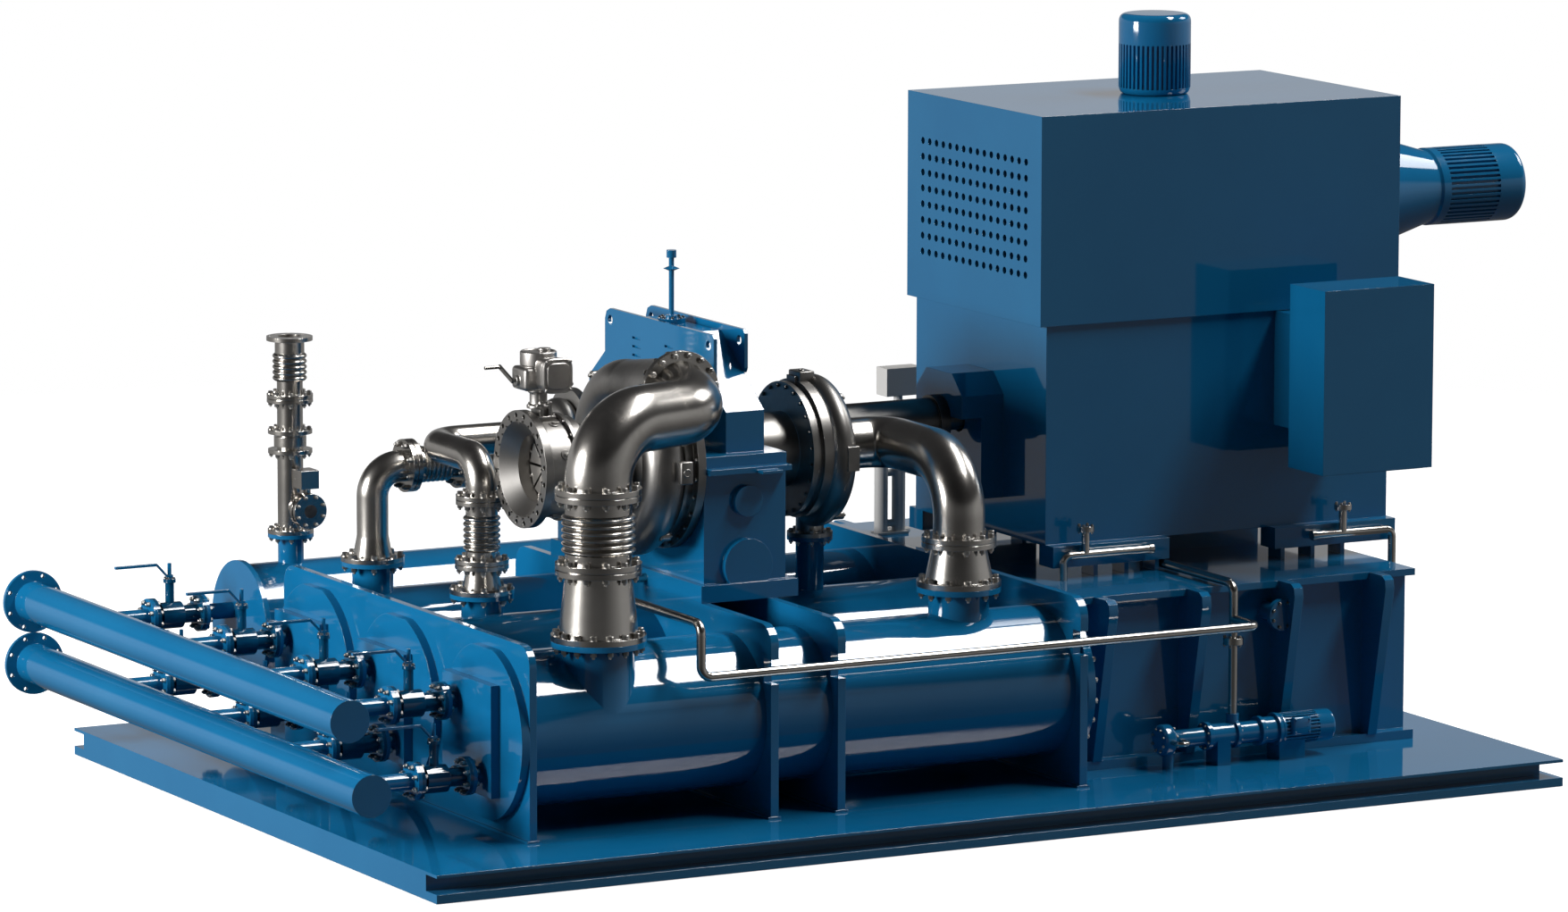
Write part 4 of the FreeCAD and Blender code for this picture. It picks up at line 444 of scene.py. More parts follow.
# The finish of a CAD node comes from its slot, or from its own line here.
nodeFinish = {
    "blue_paint": "paint",
    "stainless_steel": "steel",
    "dark_steel": "shaft",
    "grey_paint": "grey",
}
nodeSpecial = {
    "stage_1_scroll": "cast",
    "stage_2_scroll": "cast",
    "stage_3_scroll": "cast",
    "guide_vane_housing": "cast",
    "actuator_crank": "shaft",
    "oil_pipes": "steelLong",
    "coupling_guard": "castDark",
    "gearbox_breather": "paint",
    "valve_bodies": "paintDark",
}
slotOf = {part["node"]: part["material_slot"] for part in frame["record"]["subparts"]}
smoothLook = {"angle": 28, "merge": 0.00002}  # degrees at which an edge turns sharp; metres


def smoothingGroup(angle, merge):
    # merges the loose triangles' doubles, smooths all, then sharpens edges that turn by more than
    # the angle
    group = bpy.data.node_groups.new("smoothByAngle", "GeometryNodeTree")
    for way in ("INPUT", "OUTPUT"):
        group.interface.new_socket("Geometry", in_out=way, socket_type="NodeSocketGeometry")
    make = group.nodes.new
    start = make("NodeGroupInput")
    end = make("NodeGroupOutput")
    merged = make("GeometryNodeMergeByDistance")
    smoothed = make("GeometryNodeSetShadeSmooth")
    sharpened = make("GeometryNodeSetShadeSmooth")
    turn = make("GeometryNodeInputMeshEdgeAngle")
    test = make("FunctionNodeCompare")
    merged.inputs["Distance"].default_value = merge
    smoothed.domain = "FACE"
    smoothed.inputs["Shade Smooth"].default_value = True
    sharpened.domain = "EDGE"
    sharpened.inputs["Shade Smooth"].default_value = False
    test.data_type = "FLOAT"
    test.operation = "GREATER_THAN"
    test.inputs[1].default_value = math.radians(angle)
    for source, target in (
        (start.outputs[0], merged.inputs["Geometry"]),
        (merged.outputs[0], smoothed.inputs["Geometry"]),
        (smoothed.outputs[0], sharpened.inputs["Geometry"]),
        (turn.outputs["Unsigned Angle"], test.inputs[0]),
        (test.outputs[0], sharpened.inputs["Selection"]),
        (sharpened.outputs[0], end.inputs[0]),
    ):
        group.links.new(source, target)
    return group


smoothing = smoothingGroup(**smoothLook)
for name, item in nodes.items():
    kind = nodeSpecial.get(name) or nodeFinish[slotOf[name]]
    if name.startswith("guide_vane_") and name[-1].isdigit():
        kind = "blade"
    item.data.materials.clear()
    item.data.materials.append(finishes[kind])
    item.modifiers.new("smooth", "NODES").node_group = smoothing
print("CAD nodes dressed")


# Shapes are (points, quads) in millimetres; a piece gathers several and becomes one mesh in metres.
def gridQuads(rows, columns):
    # quads between neighbouring rows of points, the last column joined to the first
    i, j = np.meshgrid(np.arange(rows - 1), np.arange(columns), indexing="ij")
    k = (j + 1) % columns
    here, above = i * columns, (i + 1) * columns
    return np.stack([here + j, here + k, above + k, above + j], -1).reshape(-1, 4)


def unit(vector):
    return vector / np.linalg.norm(vector)


def axes(direction):
    # the direction itself and two more that stand square to it, right-handed
    if isinstance(direction, str):
        sign = -1 if direction[0] == "-" else 1
        direction = [sign * (letter == direction[-1]) for letter in "xyz"]
    along = unit(np.array(direction, float))
    helper = (0.0, 0.0, 1.0) if abs(along[2]) < 0.9 else (1.0, 0.0, 0.0)
    side = unit(np.cross(np.array(helper), along))
    return along, side, np.cross(along, side)


def spokes(angle, direction):
    # a unit vector square to the direction at every angle
    along, side, up = axes(direction)
    return np.cos(angle)[:, None] * side + np.sin(angle)[:, None] * up


def turns(count, start=0.0):
    # angles evenly spaced round a whole turn
    return (np.arange(count) + start) * 2 * math.pi / count


def turned(profile, centre, direction, sides):
    # a point of the profile (s, r) at angle t goes to
    # centre + s * axis + r * (cos t * side + sin t * up)
    profile = np.array(profile, float)
    along = axes(direction)[0]
    ring = spokes(turns(sides), direction)
    points = np.array(centre, float) + profile[:, None, :1] * along
    points = points + profile[:, None, 1:] * ring[None]
    return points.reshape(-1, 3), gridQuads(len(profile), sides)


def block(low, high, rounding, steps):
    # each corner is an eighth of a ball of the rounding radius, moved out to its corner of the box
    low, high = np.array(low, float), np.array(high, float)
    widest = (high - low).min() / 2 * 0.98  # leaves a narrow flat on the thinnest side
    rounding = min(rounding, widest)
    inner = (high - low) / 2 - rounding
    quarter = np.linspace(0, math.pi / 2, steps + 1)
    turn = np.concatenate([quarter + q * math.pi / 2 for q in range(4)])
    signX = np.repeat([1, -1, -1, 1], steps + 1)
    signY = np.repeat([1, 1, -1, -1], steps + 1)
    rise = np.concatenate([quarter - math.pi / 2, quarter])
    signZ = np.repeat([-1, 1], steps + 1)
    x = rounding * np.cos(rise)[:, None] * np.cos(turn) + signX * inner[0]
    y = rounding * np.cos(rise)[:, None] * np.sin(turn) + signY * inner[1]
    z = (rounding * np.sin(rise) + signZ * inner[2])[:, None] + 0 * x
    points = np.stack([x, y, z], -1)
    cap = np.zeros((1, len(turn), 3))
    cap[..., 2] = (high[2] - low[2]) / 2
    points = np.concatenate([-cap, points, cap]) + (low + high) / 2
    return points.reshape(-1, 3), gridQuads(len(rise) + 2, len(turn))


def plate(outline, centre, direction, thick, edge):
    # the outline, drawn towards its middle by the edge at both faces and closed there with a fan
    outline = np.array(outline, float)
    middle = outline.mean(0)
    reach = np.linalg.norm(outline - middle, axis=1, keepdims=True)
    small = middle + (outline - middle) * (reach - edge) / reach
    point = middle + 0 * outline
    along, side, up = axes(direction)
    rings = (
        (0, point), (0, small), (edge, outline),
        (thick - edge, outline), (thick, small), (thick, point),
    )
    centre = np.array(centre, float)
    points = [centre + s * along + ring[:, :1] * side + ring[:, 1:] * up for s, ring in rings]
    return np.concatenate(points), gridQuads(len(rings), len(outline))


def tube(path, normal, radius, sides):
    # a ring of the given radius rides along a path in the plane of the normal; both ends are closed
    path = np.array(path, float)
    along = np.gradient(path, axis=0)
    along = along / np.linalg.norm(along, axis=1, keepdims=True)
    flat = np.array(normal, float) + 0 * path
    side = np.cross(flat, along)
    angle = turns(sides)
    cosines, sines = np.cos(angle)[None, :, None], np.sin(angle)[None, :, None]
    rings = path[:, None] + radius * (cosines * flat[:, None] + sines * side[:, None])
    rings = np.concatenate([path[:1, None] + 0 * rings[:1], rings, path[-1:, None] + 0 * rings[:1]])
    return rings.reshape(-1, 3), gridQuads(len(rings), sides)


def softened(profile, rounding, steps=4):
    # every inner corner becomes a quadratic bend, which starts and ends at the rounding's distance
    # from it, or just short of half a side
    profile = np.array(profile, float)
    points = [profile[0]]
    for before, corner, after in zip(profile[:-2], profile[1:-1], profile[2:]):
        a, b = before - corner, after - corner
        reach = min(rounding, np.hypot(*a) * 0.45, np.hypot(*b) * 0.45)
        first, last = corner + a / np.hypot(*a) * reach, corner + b / np.hypot(*b) * reach
        t = np.linspace(0, 1, steps + 1)[:, None]
        points += list(first * (1 - t) ** 2 + 2 * corner * t * (1 - t) + last * t ** 2)
    return points + [profile[-1]]


# One rib and its slot: the share of their turn where a point stands, and if it lies in the slot.
ribShape = np.array([(0.0, 0.0), (0.25, 0.0), (0.5, 0.0), (0.53, 1.0), (0.75, 1.0), (0.97, 1.0)])


def ribbed(profile, slots, radius, depth, ribs, centre, direction):
    # a turned shape whose radius drops by the depth inside the slots, which run from first to last
    first, last = slots
    angle = ((np.arange(ribs)[:, None] + ribShape[:, 0]) / ribs).ravel() * 2 * math.pi
    slot = np.tile(ribShape[:, 1], ribs)
    rings = [(s, r, 0) for s, r in profile if s <= first]
    rings += [(first, radius, 0), (first, radius, 1), (last, radius, 1), (last, radius, 0)]
    rings += [(s, r, 0) for s, r in profile if s >= last]
    s, r, cut = np.array(rings).T[:, :, None]
    reach = (r - depth * slot * cut)[..., None]
    along = axes(direction)[0]
    points = np.array(centre, float) + s[..., None] * along + reach * spokes(angle, direction)
    return points.reshape(-1, 3), gridQuads(len(rings), len(angle))


def superEllipse(width, height, power, count=64):
    # |x / width|^p + |y / height|^p = 1, walked by angle
    c, s = np.cos(turns(count)), np.sin(turns(count))
    x = width * np.sign(c) * np.abs(c) ** (2 / power)
    y = height * np.sign(s) * np.abs(s) ** (2 / power)
    return np.stack([x, y], -1)


def copies(shape, places, direction):
    # the shape, made along +X from the origin, set down at every place and turned to the direction
    points, quads = shape
    places = np.array(places, float)
    along, side, up = axes(direction)
    turnedPoints = points[:, :1] * along + points[:, 1:2] * side + points[:, 2:] * up
    allPoints = (places[:, None] + turnedPoints[None]).reshape(-1, 3)
    allQuads = (quads[None] + (np.arange(len(places)) * len(points))[:, None, None]).reshape(-1, 4)
    return allPoints, allQuads


def together(shapes):
    start = np.cumsum([0] + [len(points) for points, quads in shapes[:-1]])
    points = np.concatenate([points for points, quads in shapes])
    return points, np.concatenate([quads + n for (_, quads), n in zip(shapes, start)])


def circle(centre, direction, radius, count, start=0.5):
    # places round a bolt circle
    return np.array(centre, float) + radius * spokes(turns(count, start), direction)


# Heights along a fastener are shares of its width across flats, and so are the stud's radii; the
# other radii are shares of the radius over the corners.
fastener = {
    "washer": (0.14, 1.12, 10),  # height, radius, sides
    "headHeight": 0.62,
    "headChamfer": (0.82, 0.82),  # share of the head's height where it starts, radius on top
    "nut": ((0, 1), (0.72, 0.98), (0.8, 0.84)),
    "stud": ((0.7, 0.3), (1.12, 0.3), (1.2, 0.2)),
    "studSides": 7,
}


def hexHead(width):
    # a six-sided prism with its top chamfered, on a washer
    radius = width / math.sqrt(3)
    height = width * fastener["headHeight"]
    washerHeight, washerRadius, washerSides = fastener["washer"]
    base = width * washerHeight
    rise, crown = fastener["headChamfer"]
    head = [(base, 0), (base, radius), (base + height * rise, radius)]
    head += [(base + height, radius * crown), (base + height, 0)]
    washer = [(0, 0), (0, radius * washerRadius), (base, radius * washerRadius), (base, 0)]
    origin = (0, 0, 0)
    return together([turned(head, origin, "x", 6), turned(washer, origin, "x", washerSides)])


def closedProfile(points):
    # the profile's two ends drawn in to the axis
    return [(points[0][0], 0), *points, (points[-1][0], 0)]


def studEnd(width):
    # a nut with the end of its stud standing out
    radius = width / math.sqrt(3)
    nut = [(width * s, radius * r) for s, r in fastener["nut"]]
    stud = [(width * s, width * r) for s, r in fastener["stud"]]
    return together([
        turned(closedProfile(nut), (0, 0, 0), "x", 6),
        turned(closedProfile(stud), (0, 0, 0), "x", fastener["studSides"]),
    ])


def boltRing(centre, way, radius, count, width):
    # heads on a bolt circle, pointing the way
    return copies(hexHead(width), circle(centre, way, radius, count), way)


def flangeBolts(centre, direction, half, radius, count, width):
    # bolt heads on one outer face of a joint and nuts with stud ends on the other
    along = axes(direction)[0]
    centre = np.array(centre, float)
    heads = circle(centre + along * half, direction, radius, count)
    nuts = circle(centre - along * half, direction, radius, count)
    return [copies(hexHead(width), heads, direction), copies(studEnd(width), nuts, "-" + direction)]


def jointBolts(joints):
    return [shape for joint in joints.values() for shape in flangeBolts(*joint)]


meshLook = {
    "scale": 0.001,  # metres in a millimetre
    "weld": 0.000004,  # metres
    "sharp": 32,  # degrees from which an edge is sharp
}


def makePiece(name, shapes, finish, sharp=meshLook["sharp"]):
    points, quads = together(shapes)
    mesh = bpy.data.meshes.new(name)
    mesh.vertices.add(len(points))
    mesh.vertices.foreach_set("co", (points * meshLook["scale"]).astype(np.float32).ravel())
    mesh.loops.add(quads.size)
    mesh.loops.foreach_set("vertex_index", quads.astype(np.int32).ravel())
    mesh.polygons.add(len(quads))
    mesh.polygons.foreach_set("loop_start", np.arange(0, quads.size, 4, dtype=np.int32))
    mesh.update(calc_edges=True)
    work = bmesh.new()
    work.from_mesh(mesh)
    bmesh.ops.remove_doubles(work, verts=work.verts, dist=meshLook["weld"])
    bmesh.ops.recalc_face_normals(work, faces=work.faces)
    work.to_mesh(mesh)
    work.free()
    mesh.shade_smooth()
    mesh.set_sharp_from_angle(angle=math.radians(sharp))
    mesh.materials.append(finishes[finish])
    item = bpy.data.objects.new(name, mesh)
    bpy.context.scene.collection.objects.link(item)
    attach(item, "package")
    return item


pipeJoints = {
    # centre, axis, half thickness over both discs, bolt circle radius, bolts, width across flats
    "discharge1Foot": ((-2048, -1500, 1113), "z", 30, 220, 16, 30),
    "discharge1Low": ((-2048, -1500, 1482), "z", 31, 198, 12, 28),
    "discharge1High": ((-2048, -1500, 1865), "z", 31, 198, 12, 28),
    "suction2Foot": ((166, -1300, 1191), "z", 30, 200, 12, 28),
    "suction2High": ((166, -1300, 1428), "z", 28, 174, 12, 26),
    "suction3Foot": ((-2031, -121, 1146), "z", 24, 147, 8, 28),
    "suction3Low": ((-2031, -121, 1302), "z", 25, 119, 8, 26),
    "suction3High": ((-2031, -121, 1641), "z", 25, 114, 8, 26),
    "discharge3Foot": ((-2253, 740, 1208), "z", 24, 147, 8, 28),
    "discharge3Run": ((-2045, 740, 1702), "x", 28, 119, 8, 26),
    "discharge3Scroll": ((-1745, 740, 1702), "x", 22, 119, 8, 26),
    "discharge2Foot": ((-170, -280, 1335), "z", 22, 100, 8, 22),
    "ventFoot": ((-2240, 1800, 1202), "z", 22, 105, 8, 22),
    "ventHigh": ((-2240, 1800, 1940), "z", 22, 105, 8, 22),
    "ventWafer": ((-2240, 1800, 1704), "z", 65, 103, 8, 20),
    "ventSide": ((-2220, 1617, 1345), "y", 32, 80, 8, 18),
    "discharge1Scroll": ((-1358, -1052, 2277), "y", 31, 200, 16, 28),
}
makePiece("pipe_flange_bolts", jointBolts(pipeJoints), "bolt")
print("pipe joints bolted")

bellowsLook = {
    # start of the sleeve, axis, length, crest radius, depth, convolutions
    "sleeves": {
        "discharge1": ((-2048, -1500, 1560), "z", 205, 189, 22, 6),
        "suction3": ((-2031, -121, 1368), "z", 190, 97, 14, 6),
        "discharge3": ((-1973, 740, 1702), "x", 165, 97, 14, 6),
        "vent": ((-2240, 1800, 2035), "z", 150, 92, 12, 5),
    },
    "clear": 1.2,  # how far the sleeve stands outside the solid
    "steps": 12,  # rings to a convolution
    "sides": 64,
}
shapes = []
for start, direction, length, radius, depth, count in bellowsLook["sleeves"].values():
    # radius = root + depth * |sin|, a round crest and a tight root
    share = np.linspace(0, 1, count * bellowsLook["steps"] + 1)
    root = radius - depth + bellowsLook["clear"]
    swell = root + depth * np.abs(np.sin(share * count * math.pi))
    profile = [(0, 0), *zip(share * length, swell), (length, 0)]
    shapes.append(turned(profile, start, direction, bellowsLook["sides"]))
makePiece("bellows_sleeves", shapes, "steel", sharp=70)
print("bellows made")

coverLook = {
    # centre on the face, way the heads point, bolt circle radius, bolts, width across flats
    "coolerRear1": ((745, -1300, 650), "x", 420, 24, 27),
    "coolerRear2": ((745, -280, 650), "x", 420, 24, 27),
    "coolerRear3": ((745, 740, 650), "x", 420, 24, 27),
    "vesselRear": ((600, 1800, 715), "x", 312, 20, 26),
    "scroll1Back": ((-1201, -510, 1850), "-x", 452, 28, 20),
    "scroll2Back": ((-461, -510, 1850), "-x", 335, 24, 18),
    "roofCover": ((-873, -40, 2515), "z", 61, 8, 14),
    "hatch": ((2061, -1460, 905), "-y", 68, 8, 16),
    "inletScrews": ((-2000, -510, 1850), "-x", 256, 24, 9),
}
makePiece("cover_bolts", [boltRing(*cover) for cover in coverLook.values()], "boltDark")

valveLook = {
    # y and z of each valve, and the x of the two joints and of the stem, which all eight share
    "places": (
        (-1074, 785), (-1362, 445), (-54, 785), (-342, 445),
        (966, 785), (678, 445), (1900, 785), (1750, 445),
    ),
    "jointsX": (-3025, -2736),
    "stemX": -2915,
    "joint": (20, 80, 8, 24),  # half thickness over both discs, bolt circle radius, bolts, width
    "gland": (25, 4, 13),  # bolt circle radius, bolts, width
    "glandRise": 200,  # over the valve's axis
}
shapes = []
for y, z in valveLook["places"]:
    for x in valveLook["jointsX"]:
        shapes += flangeBolts((x, y, z), "x", *valveLook["joint"])
    glandCentre = (valveLook["stemX"], y, z + valveLook["glandRise"])
    shapes.append(boltRing(glandCentre, "z", *valveLook["gland"]))
makePiece("valve_bolts", shapes, "bolt")

oilJoints = {
    # as in pipeJoints
    "feed": ((1719, -1500, 800), "z", 18, 42, 4, 14),
    "riserLeft": ((1205, -830, 1345), "z", 15, 36, 4, 12),
    "riserRight": ((2818, -830, 1345), "z", 15, 36, 4, 12),
}
makePiece("oil_flange_bolts", jointBolts(oilJoints), "bolt")
print("covers, valves and oil flanges bolted")

fanLook = {
    # profiles are (way along, radius); the foot is the middle of the end that sits on the hood
    "ribs": 46,
    "slotDepth": 15,
    "steps": 8,  # of each softened corner
    "top": {
        "foot": (2100, 0, 3554),
        "cone": (),
        "body": ((0, 0), (0, 180), (30, 196), (436, 196), (436, 0)),
        "radius": 196,
        "slots": (36, 273),
        "rounding": 46,
    },
    "end": {
        "foot": (3217, 0, 2945),
        "cone": ((0, 0), (0, 385), (596, 207), (606, 206), (614, 210), (622, 215)),
        "body": ((630, 215), (1173, 215), (1173, 0)),
        "radius": 215,
        "slots": (668, 990),
        "rounding": 52,
    },
}


def fanMotor(motor, direction):
    # a cone with its own corners, then a ribbed body with softened ones
    profile = [*motor["cone"], *softened(motor["body"], motor["rounding"], fanLook["steps"])]
    depth, ribs = fanLook["slotDepth"], fanLook["ribs"]
    return ribbed(profile, motor["slots"], motor["radius"], depth, ribs, motor["foot"], direction)


shapes = [fanMotor(fanLook["top"], "z"), fanMotor(fanLook["end"], "x")]
fans = makePiece("fan_motor_housings", shapes, "paint", sharp=30)
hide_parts("fan_motors")
print("fan motors ribbed")

cableGland = ((0, 0), (0, 16), (18, 16), (20, 12), (34, 12), (34, 0))
actuatorLook = {
    "axis": (-1893, -510, 0),  # of the can and its column; the places below are counted from here
    "turned": {
        # profile of (way along, radius), rounding, foot, direction, sides
        "can": (
            ((0, 0), (0, 90), (14, 90), (18, 96), (84, 96), (90, 90), (90, 82), (84, 78), (84, 0)),
            3, (0, 0, 2375), "z", 64,
        ),
        "canCap": (((0, 0), (0, 26), (12, 34), (24, 34), (24, 0)), 4, (35, 0, 2452), "z", 32),
        "crankHub": (
            ((0, 0), (0, 34), (10, 34), (14, 26), (30, 26), (30, 0)),
            3, (-105, 0, 2316), "-x", 36,
        ),
        "sidePlug": (((0, 0), (0, 13), (16, 13), (22, 8), (22, 0)), 3, (113, -130, 2300), "x", 24),
        "column": (
            ((0, 0), (0, 62), (16, 62), (24, 46), (78, 46), (84, 56), (108, 56), (108, 0)),
            5, (0, 0, 2165), "z", 48,
        ),
        "glandLeft": (cableGland, 2, (-20, 82, 2330), "y", 20),
        "glandRight": (cableGland, 2, (24, 82, 2330), "y", 20),
    },
    "blocks": {
        # low corner, high corner, rounding, steps
        "gearBody": ((-117, -85, 2265), (63, 85, 2386), 22, 4),
        "switchBox": ((-55, -170, 2275), (95, -50, 2436), 32, 5),
        "bracketLeft": ((-18, -55, 2120), (4, 55, 2202), 4, 2),
        "bracketRight": ((30, -55, 2120), (52, 55, 2202), 4, 2),
        "bracketFoot": ((-62, -58, 2104), (74, 58, 2126), 5, 2),
    },
    "plates": {
        # half width, half height, middle of the back, thickness, edge
        "cover": ((86, 92), (20, -164, 2353), 26, 6),
        "coverPanel": ((66, 70), (20, -188, 2353), 9, 5),
    },
    "platePower": 4.2,
    "coverScrews": ((20, -190, 2353), 70, 74, 12),  # middle, reach to each side and up, width
    "boltRings": {
        # centre, way the heads point, bolt circle radius, bolts, width
        "columnFoot": ((0, 0, 2181), "z", 54, 6, 14),
        "canRim": ((0, 0, 2455), "z", 88, 8, 11),
    },
}
axis = np.array(actuatorLook["axis"])
shapes = [
    turned(softened(profile, rounding), axis + foot, way, sides)
    for profile, rounding, foot, way, sides in actuatorLook["turned"].values()
]
for low, high, rounding, steps in actuatorLook["blocks"].values():
    shapes.append(block(axis + low, axis + high, rounding, steps))
for size, middle, thick, edge in actuatorLook["plates"].values():
    outline = superEllipse(*size, actuatorLook["platePower"])
    shapes.append(plate(outline, axis + middle, "-y", thick, edge))
middle, across, up, width = actuatorLook["coverScrews"]
places = [axis + middle + (a, 0, b) for a in (-across, across) for b in (-up, up)]
shapes.append(copies(hexHead(width), places, "-y"))
for centre, way, radius, count, width in actuatorLook["boltRings"].values():
    shapes.append(boltRing(axis + centre, way, radius, count, width))
actuator = makePiece("vane_actuator_case", shapes, "castPale", sharp=34)
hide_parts("guide_vane_actuator")
print("actuator shaped")

barrelLook = {
    "axis": (0, -510, 1850),
    "radius": 260,
    "sunk": 4,  # how far the hoop reaches into the barrel
    "hoop": (-1800, -1776, 283),  # from and to along x, outer radius
    "hoopEdge": 2,
    "hoopSides": 96,
    "bolts": (271, 16, 13),  # bolt circle radius, bolts, width across flats
    "vanePlane": -1856,
    "vanes": 8,
    "boss": (12.5, 27, 8),  # height, radius, and how far its foot is sunk
    "bossSides": 28,
}
axis = np.array(barrelLook["axis"], float)
first, last, reach = barrelLook["hoop"]
edge = barrelLook["hoopEdge"]
root = barrelLook["radius"] - barrelLook["sunk"]
hoop = [(first, root), (first, reach - edge), (first + edge, reach)]
hoop += [(last - edge, reach), (last, reach - edge), (last, root), (first, root)]
radius, count, width = barrelLook["bolts"]
places = circle(axis + (first, 0, 0), "x", radius, count, 0)
shapes = [turned(hoop, axis, "x", barrelLook["hoopSides"]), copies(hexHead(width), places, "-x")]
height, radius, sunk = barrelLook["boss"]
boss = softened([(0, 0), (0, radius), (height, radius), (height, 0)], 3)
for angle in turns(barrelLook["vanes"], 0.5):
    out = np.array((0.0, -math.sin(angle), math.cos(angle)))
    foot = axis + (barrelLook["vanePlane"], 0, 0) + (barrelLook["radius"] - sunk) * out
    shapes.append(turned(boss, foot, out, barrelLook["bossSides"]))
makePiece("vane_barrel_ring", shapes, "cast", sharp=34)

# A near-black disc across the bore of the vent's side outlet, slightly proud of its face: painted
# shade standing in for the dark inside of the open pipe.
mouthLook = {"centre": (-2220, 1584, 1345), "radius": 36, "sunk": -2, "face": 1.2, "rounding": 0.8}
sunk, face, radius = mouthLook["sunk"], mouthLook["face"], mouthLook["radius"]
profile = softened([(sunk, 0), (sunk, radius), (face, radius), (face, 0)], mouthLook["rounding"], 2)
makePiece("vent_mouth_shade_disc", [turned(profile, mouthLook["centre"], "-y", 48)], "paintedShade")

scrollLook = {
    "axis": (0, -510, 1850),
    # middle, way the eye looks, size, radius of the eye
    "lugs": {
        "stage1Front": ((-1303, -1030, 1852), "-y", (70, 40, 120), 15),
        "stage2Front": ((-250, -812, 1830), "-y", (66, 40, 110), 14),
        "stage2Top": ((-350, -518, 2232), "z", (90, 128, 60), 12),
    },
    "lugRounding": (8, 3),  # radius, steps
    "eyeRim": 7,  # width of the rim round the eye
    "clamps": ((-1320, -816, 1503), (-1320, -50, 2229), (-240, -700, 2118), (-240, -714, 1521)),
    "clampRise": 14,  # how far the barrel's axis stands out from the clamp's place
    "clampHalf": 30,
    "clampRadius": 24,
    "pin": ((-26, 0), (-26, 17), (22, 17), (30, 11), (30, 0)),
    "screw": 18,  # width across flats
}


def lug(centre, way, size, hole):
    # a rounded block with a rimmed eye on its outer face
    centre, half = np.array(centre, float), np.array(size) / 2
    face = centre + axes(way)[0] * np.abs(half @ np.abs(axes(way)[0]))
    outer = hole + scrollLook["eyeRim"]
    rim = [(-4, 0), (-4, outer), (4, outer), (4, hole), (-3, hole), (-3, 0)]
    body = block(centre - half, centre + half, *scrollLook["lugRounding"])
    return body, turned(softened(rim, 1.5, 2), face, way, 32)


def clamp(spot):
    # a barrel along x with a pin that points away from the scroll's axis and a screw at both ends
    middle = np.array(spot, float)
    out = middle - scrollLook["axis"]
    out[0] = 0
    out = unit(out)
    half, radius = scrollLook["clampHalf"], scrollLook["clampRadius"]
    barrel = softened([(-half, 0), (-half, radius), (half, radius), (half, 0)], 6)
    centre = middle + scrollLook["clampRise"] * out
    screw = hexHead(scrollLook["screw"])
    return (
        turned(barrel, centre, "x", 24),
        turned(softened(scrollLook["pin"], 3), middle, out, 20),
        copies(screw, [centre + (half, 0, 0)], "x"),
        copies(screw, [centre - (half, 0, 0)], "-x"),
    )


shapes = []
for row in scrollLook["lugs"].values():
    shapes += lug(*row)
for spot in scrollLook["clamps"]:
    shapes += clamp(spot)
makePiece("scroll_lugs", shapes, "cast", sharp=34)
print("scrolls fitted with lugs and clamps")

pumpLook = {
    "axis": (0, -1500, 300),  # the places below are counted from here; profiles are (x, radius)
    "frontCover": ((1271, 0), (1271, 70), (1283, 84), (1332, 84), (1344, 70), (1344, 0)),
    "motor": ((1992, 0), (1992, 86), (2324, 86), (2324, 0)),
    "motorRounding": (18, 5),  # distance, steps
    "motorRadius": 86,
    "fins": 28,
    "finSlots": (2016, 2222),
    "slotDepth": 10,
    "motorFlange": ((1975, 0), (1975, 90), (1996, 90), (1996, 0)),
    "terminalBox": ((2040, -112, -20), (2150, -74, 74), 10, 3),  # low, high, rounding, steps
    "boxScrews": (14, 96, 80, 9),  # near edge, far edge along x, far edge upwards, width
    "bolts": {
        # x of the face, way the heads point, bolt circle radius
        "coverRight": (1344, "x", 68),
        "coverLeft": (1271, "-x", 60),
        "lanternLeft": (1548, "-x", 62),
        "lanternRight": (1744, "x", 62),
        "motorFoot": (1896, "x", 66),
    },
    "boltCount": 8,
    "boltWidth": 13,
    "bypass": {
        # x of its start, radius of the bend, then distances out from the pump's axis
        "x": 1307,
        "bend": 34,
        "start": 84,
        "out": 118,
        "end": 60,
        "radius": 13,
        "sides": 16,
    },
}
axis = np.array(pumpLook["axis"], float)
low, high, rounding, steps = pumpLook["terminalBox"]
near, farX, farZ, width = pumpLook["boxScrews"]
screws = [axis + low + (a, 0, b) for a in (near, farX) for b in (near, farZ)]
motor = softened(pumpLook["motor"], *pumpLook["motorRounding"])
radius, depth, fins = pumpLook["motorRadius"], pumpLook["slotDepth"], pumpLook["fins"]
shapes = [
    turned(softened(pumpLook["frontCover"], 5), axis, "x", 56),
    ribbed(motor, pumpLook["finSlots"], radius, depth, fins, axis, "x"),
    turned(softened(pumpLook["motorFlange"], 3), axis, "x", 48),
    block(axis + low, axis + high, rounding, steps),
    copies(hexHead(width), screws, "-y"),
]
makePiece("oil_pump_motor", shapes, "paint", sharp=34)
count, width = pumpLook["boltCount"], pumpLook["boltWidth"]
shapes = [
    boltRing(axis + (face, 0, 0), way, radius, count, width)
    for face, way, radius in pumpLook["bolts"].values()
]
makePiece("oil_pump_bolts", shapes, "bolt")

# The bypass leaves the pump, bends back by a half circle and comes in again beside itself.
bypass = pumpLook["bypass"]
bend = bypass["bend"]
path = [(bypass["x"], -bypass["start"], 0)]
for t in np.linspace(0, math.pi, 13):
    path.append((bypass["x"] + bend - bend * math.cos(t), -bypass["out"] - bend * math.sin(t), 0))
path.append((bypass["x"] + 2 * bend, -bypass["end"], 0))
pipe = tube(axis + path, (0, 0, 1), bypass["radius"], bypass["sides"])
makePiece("oil_pump_bypass", [pipe], "steel")
print("oil pump finished")

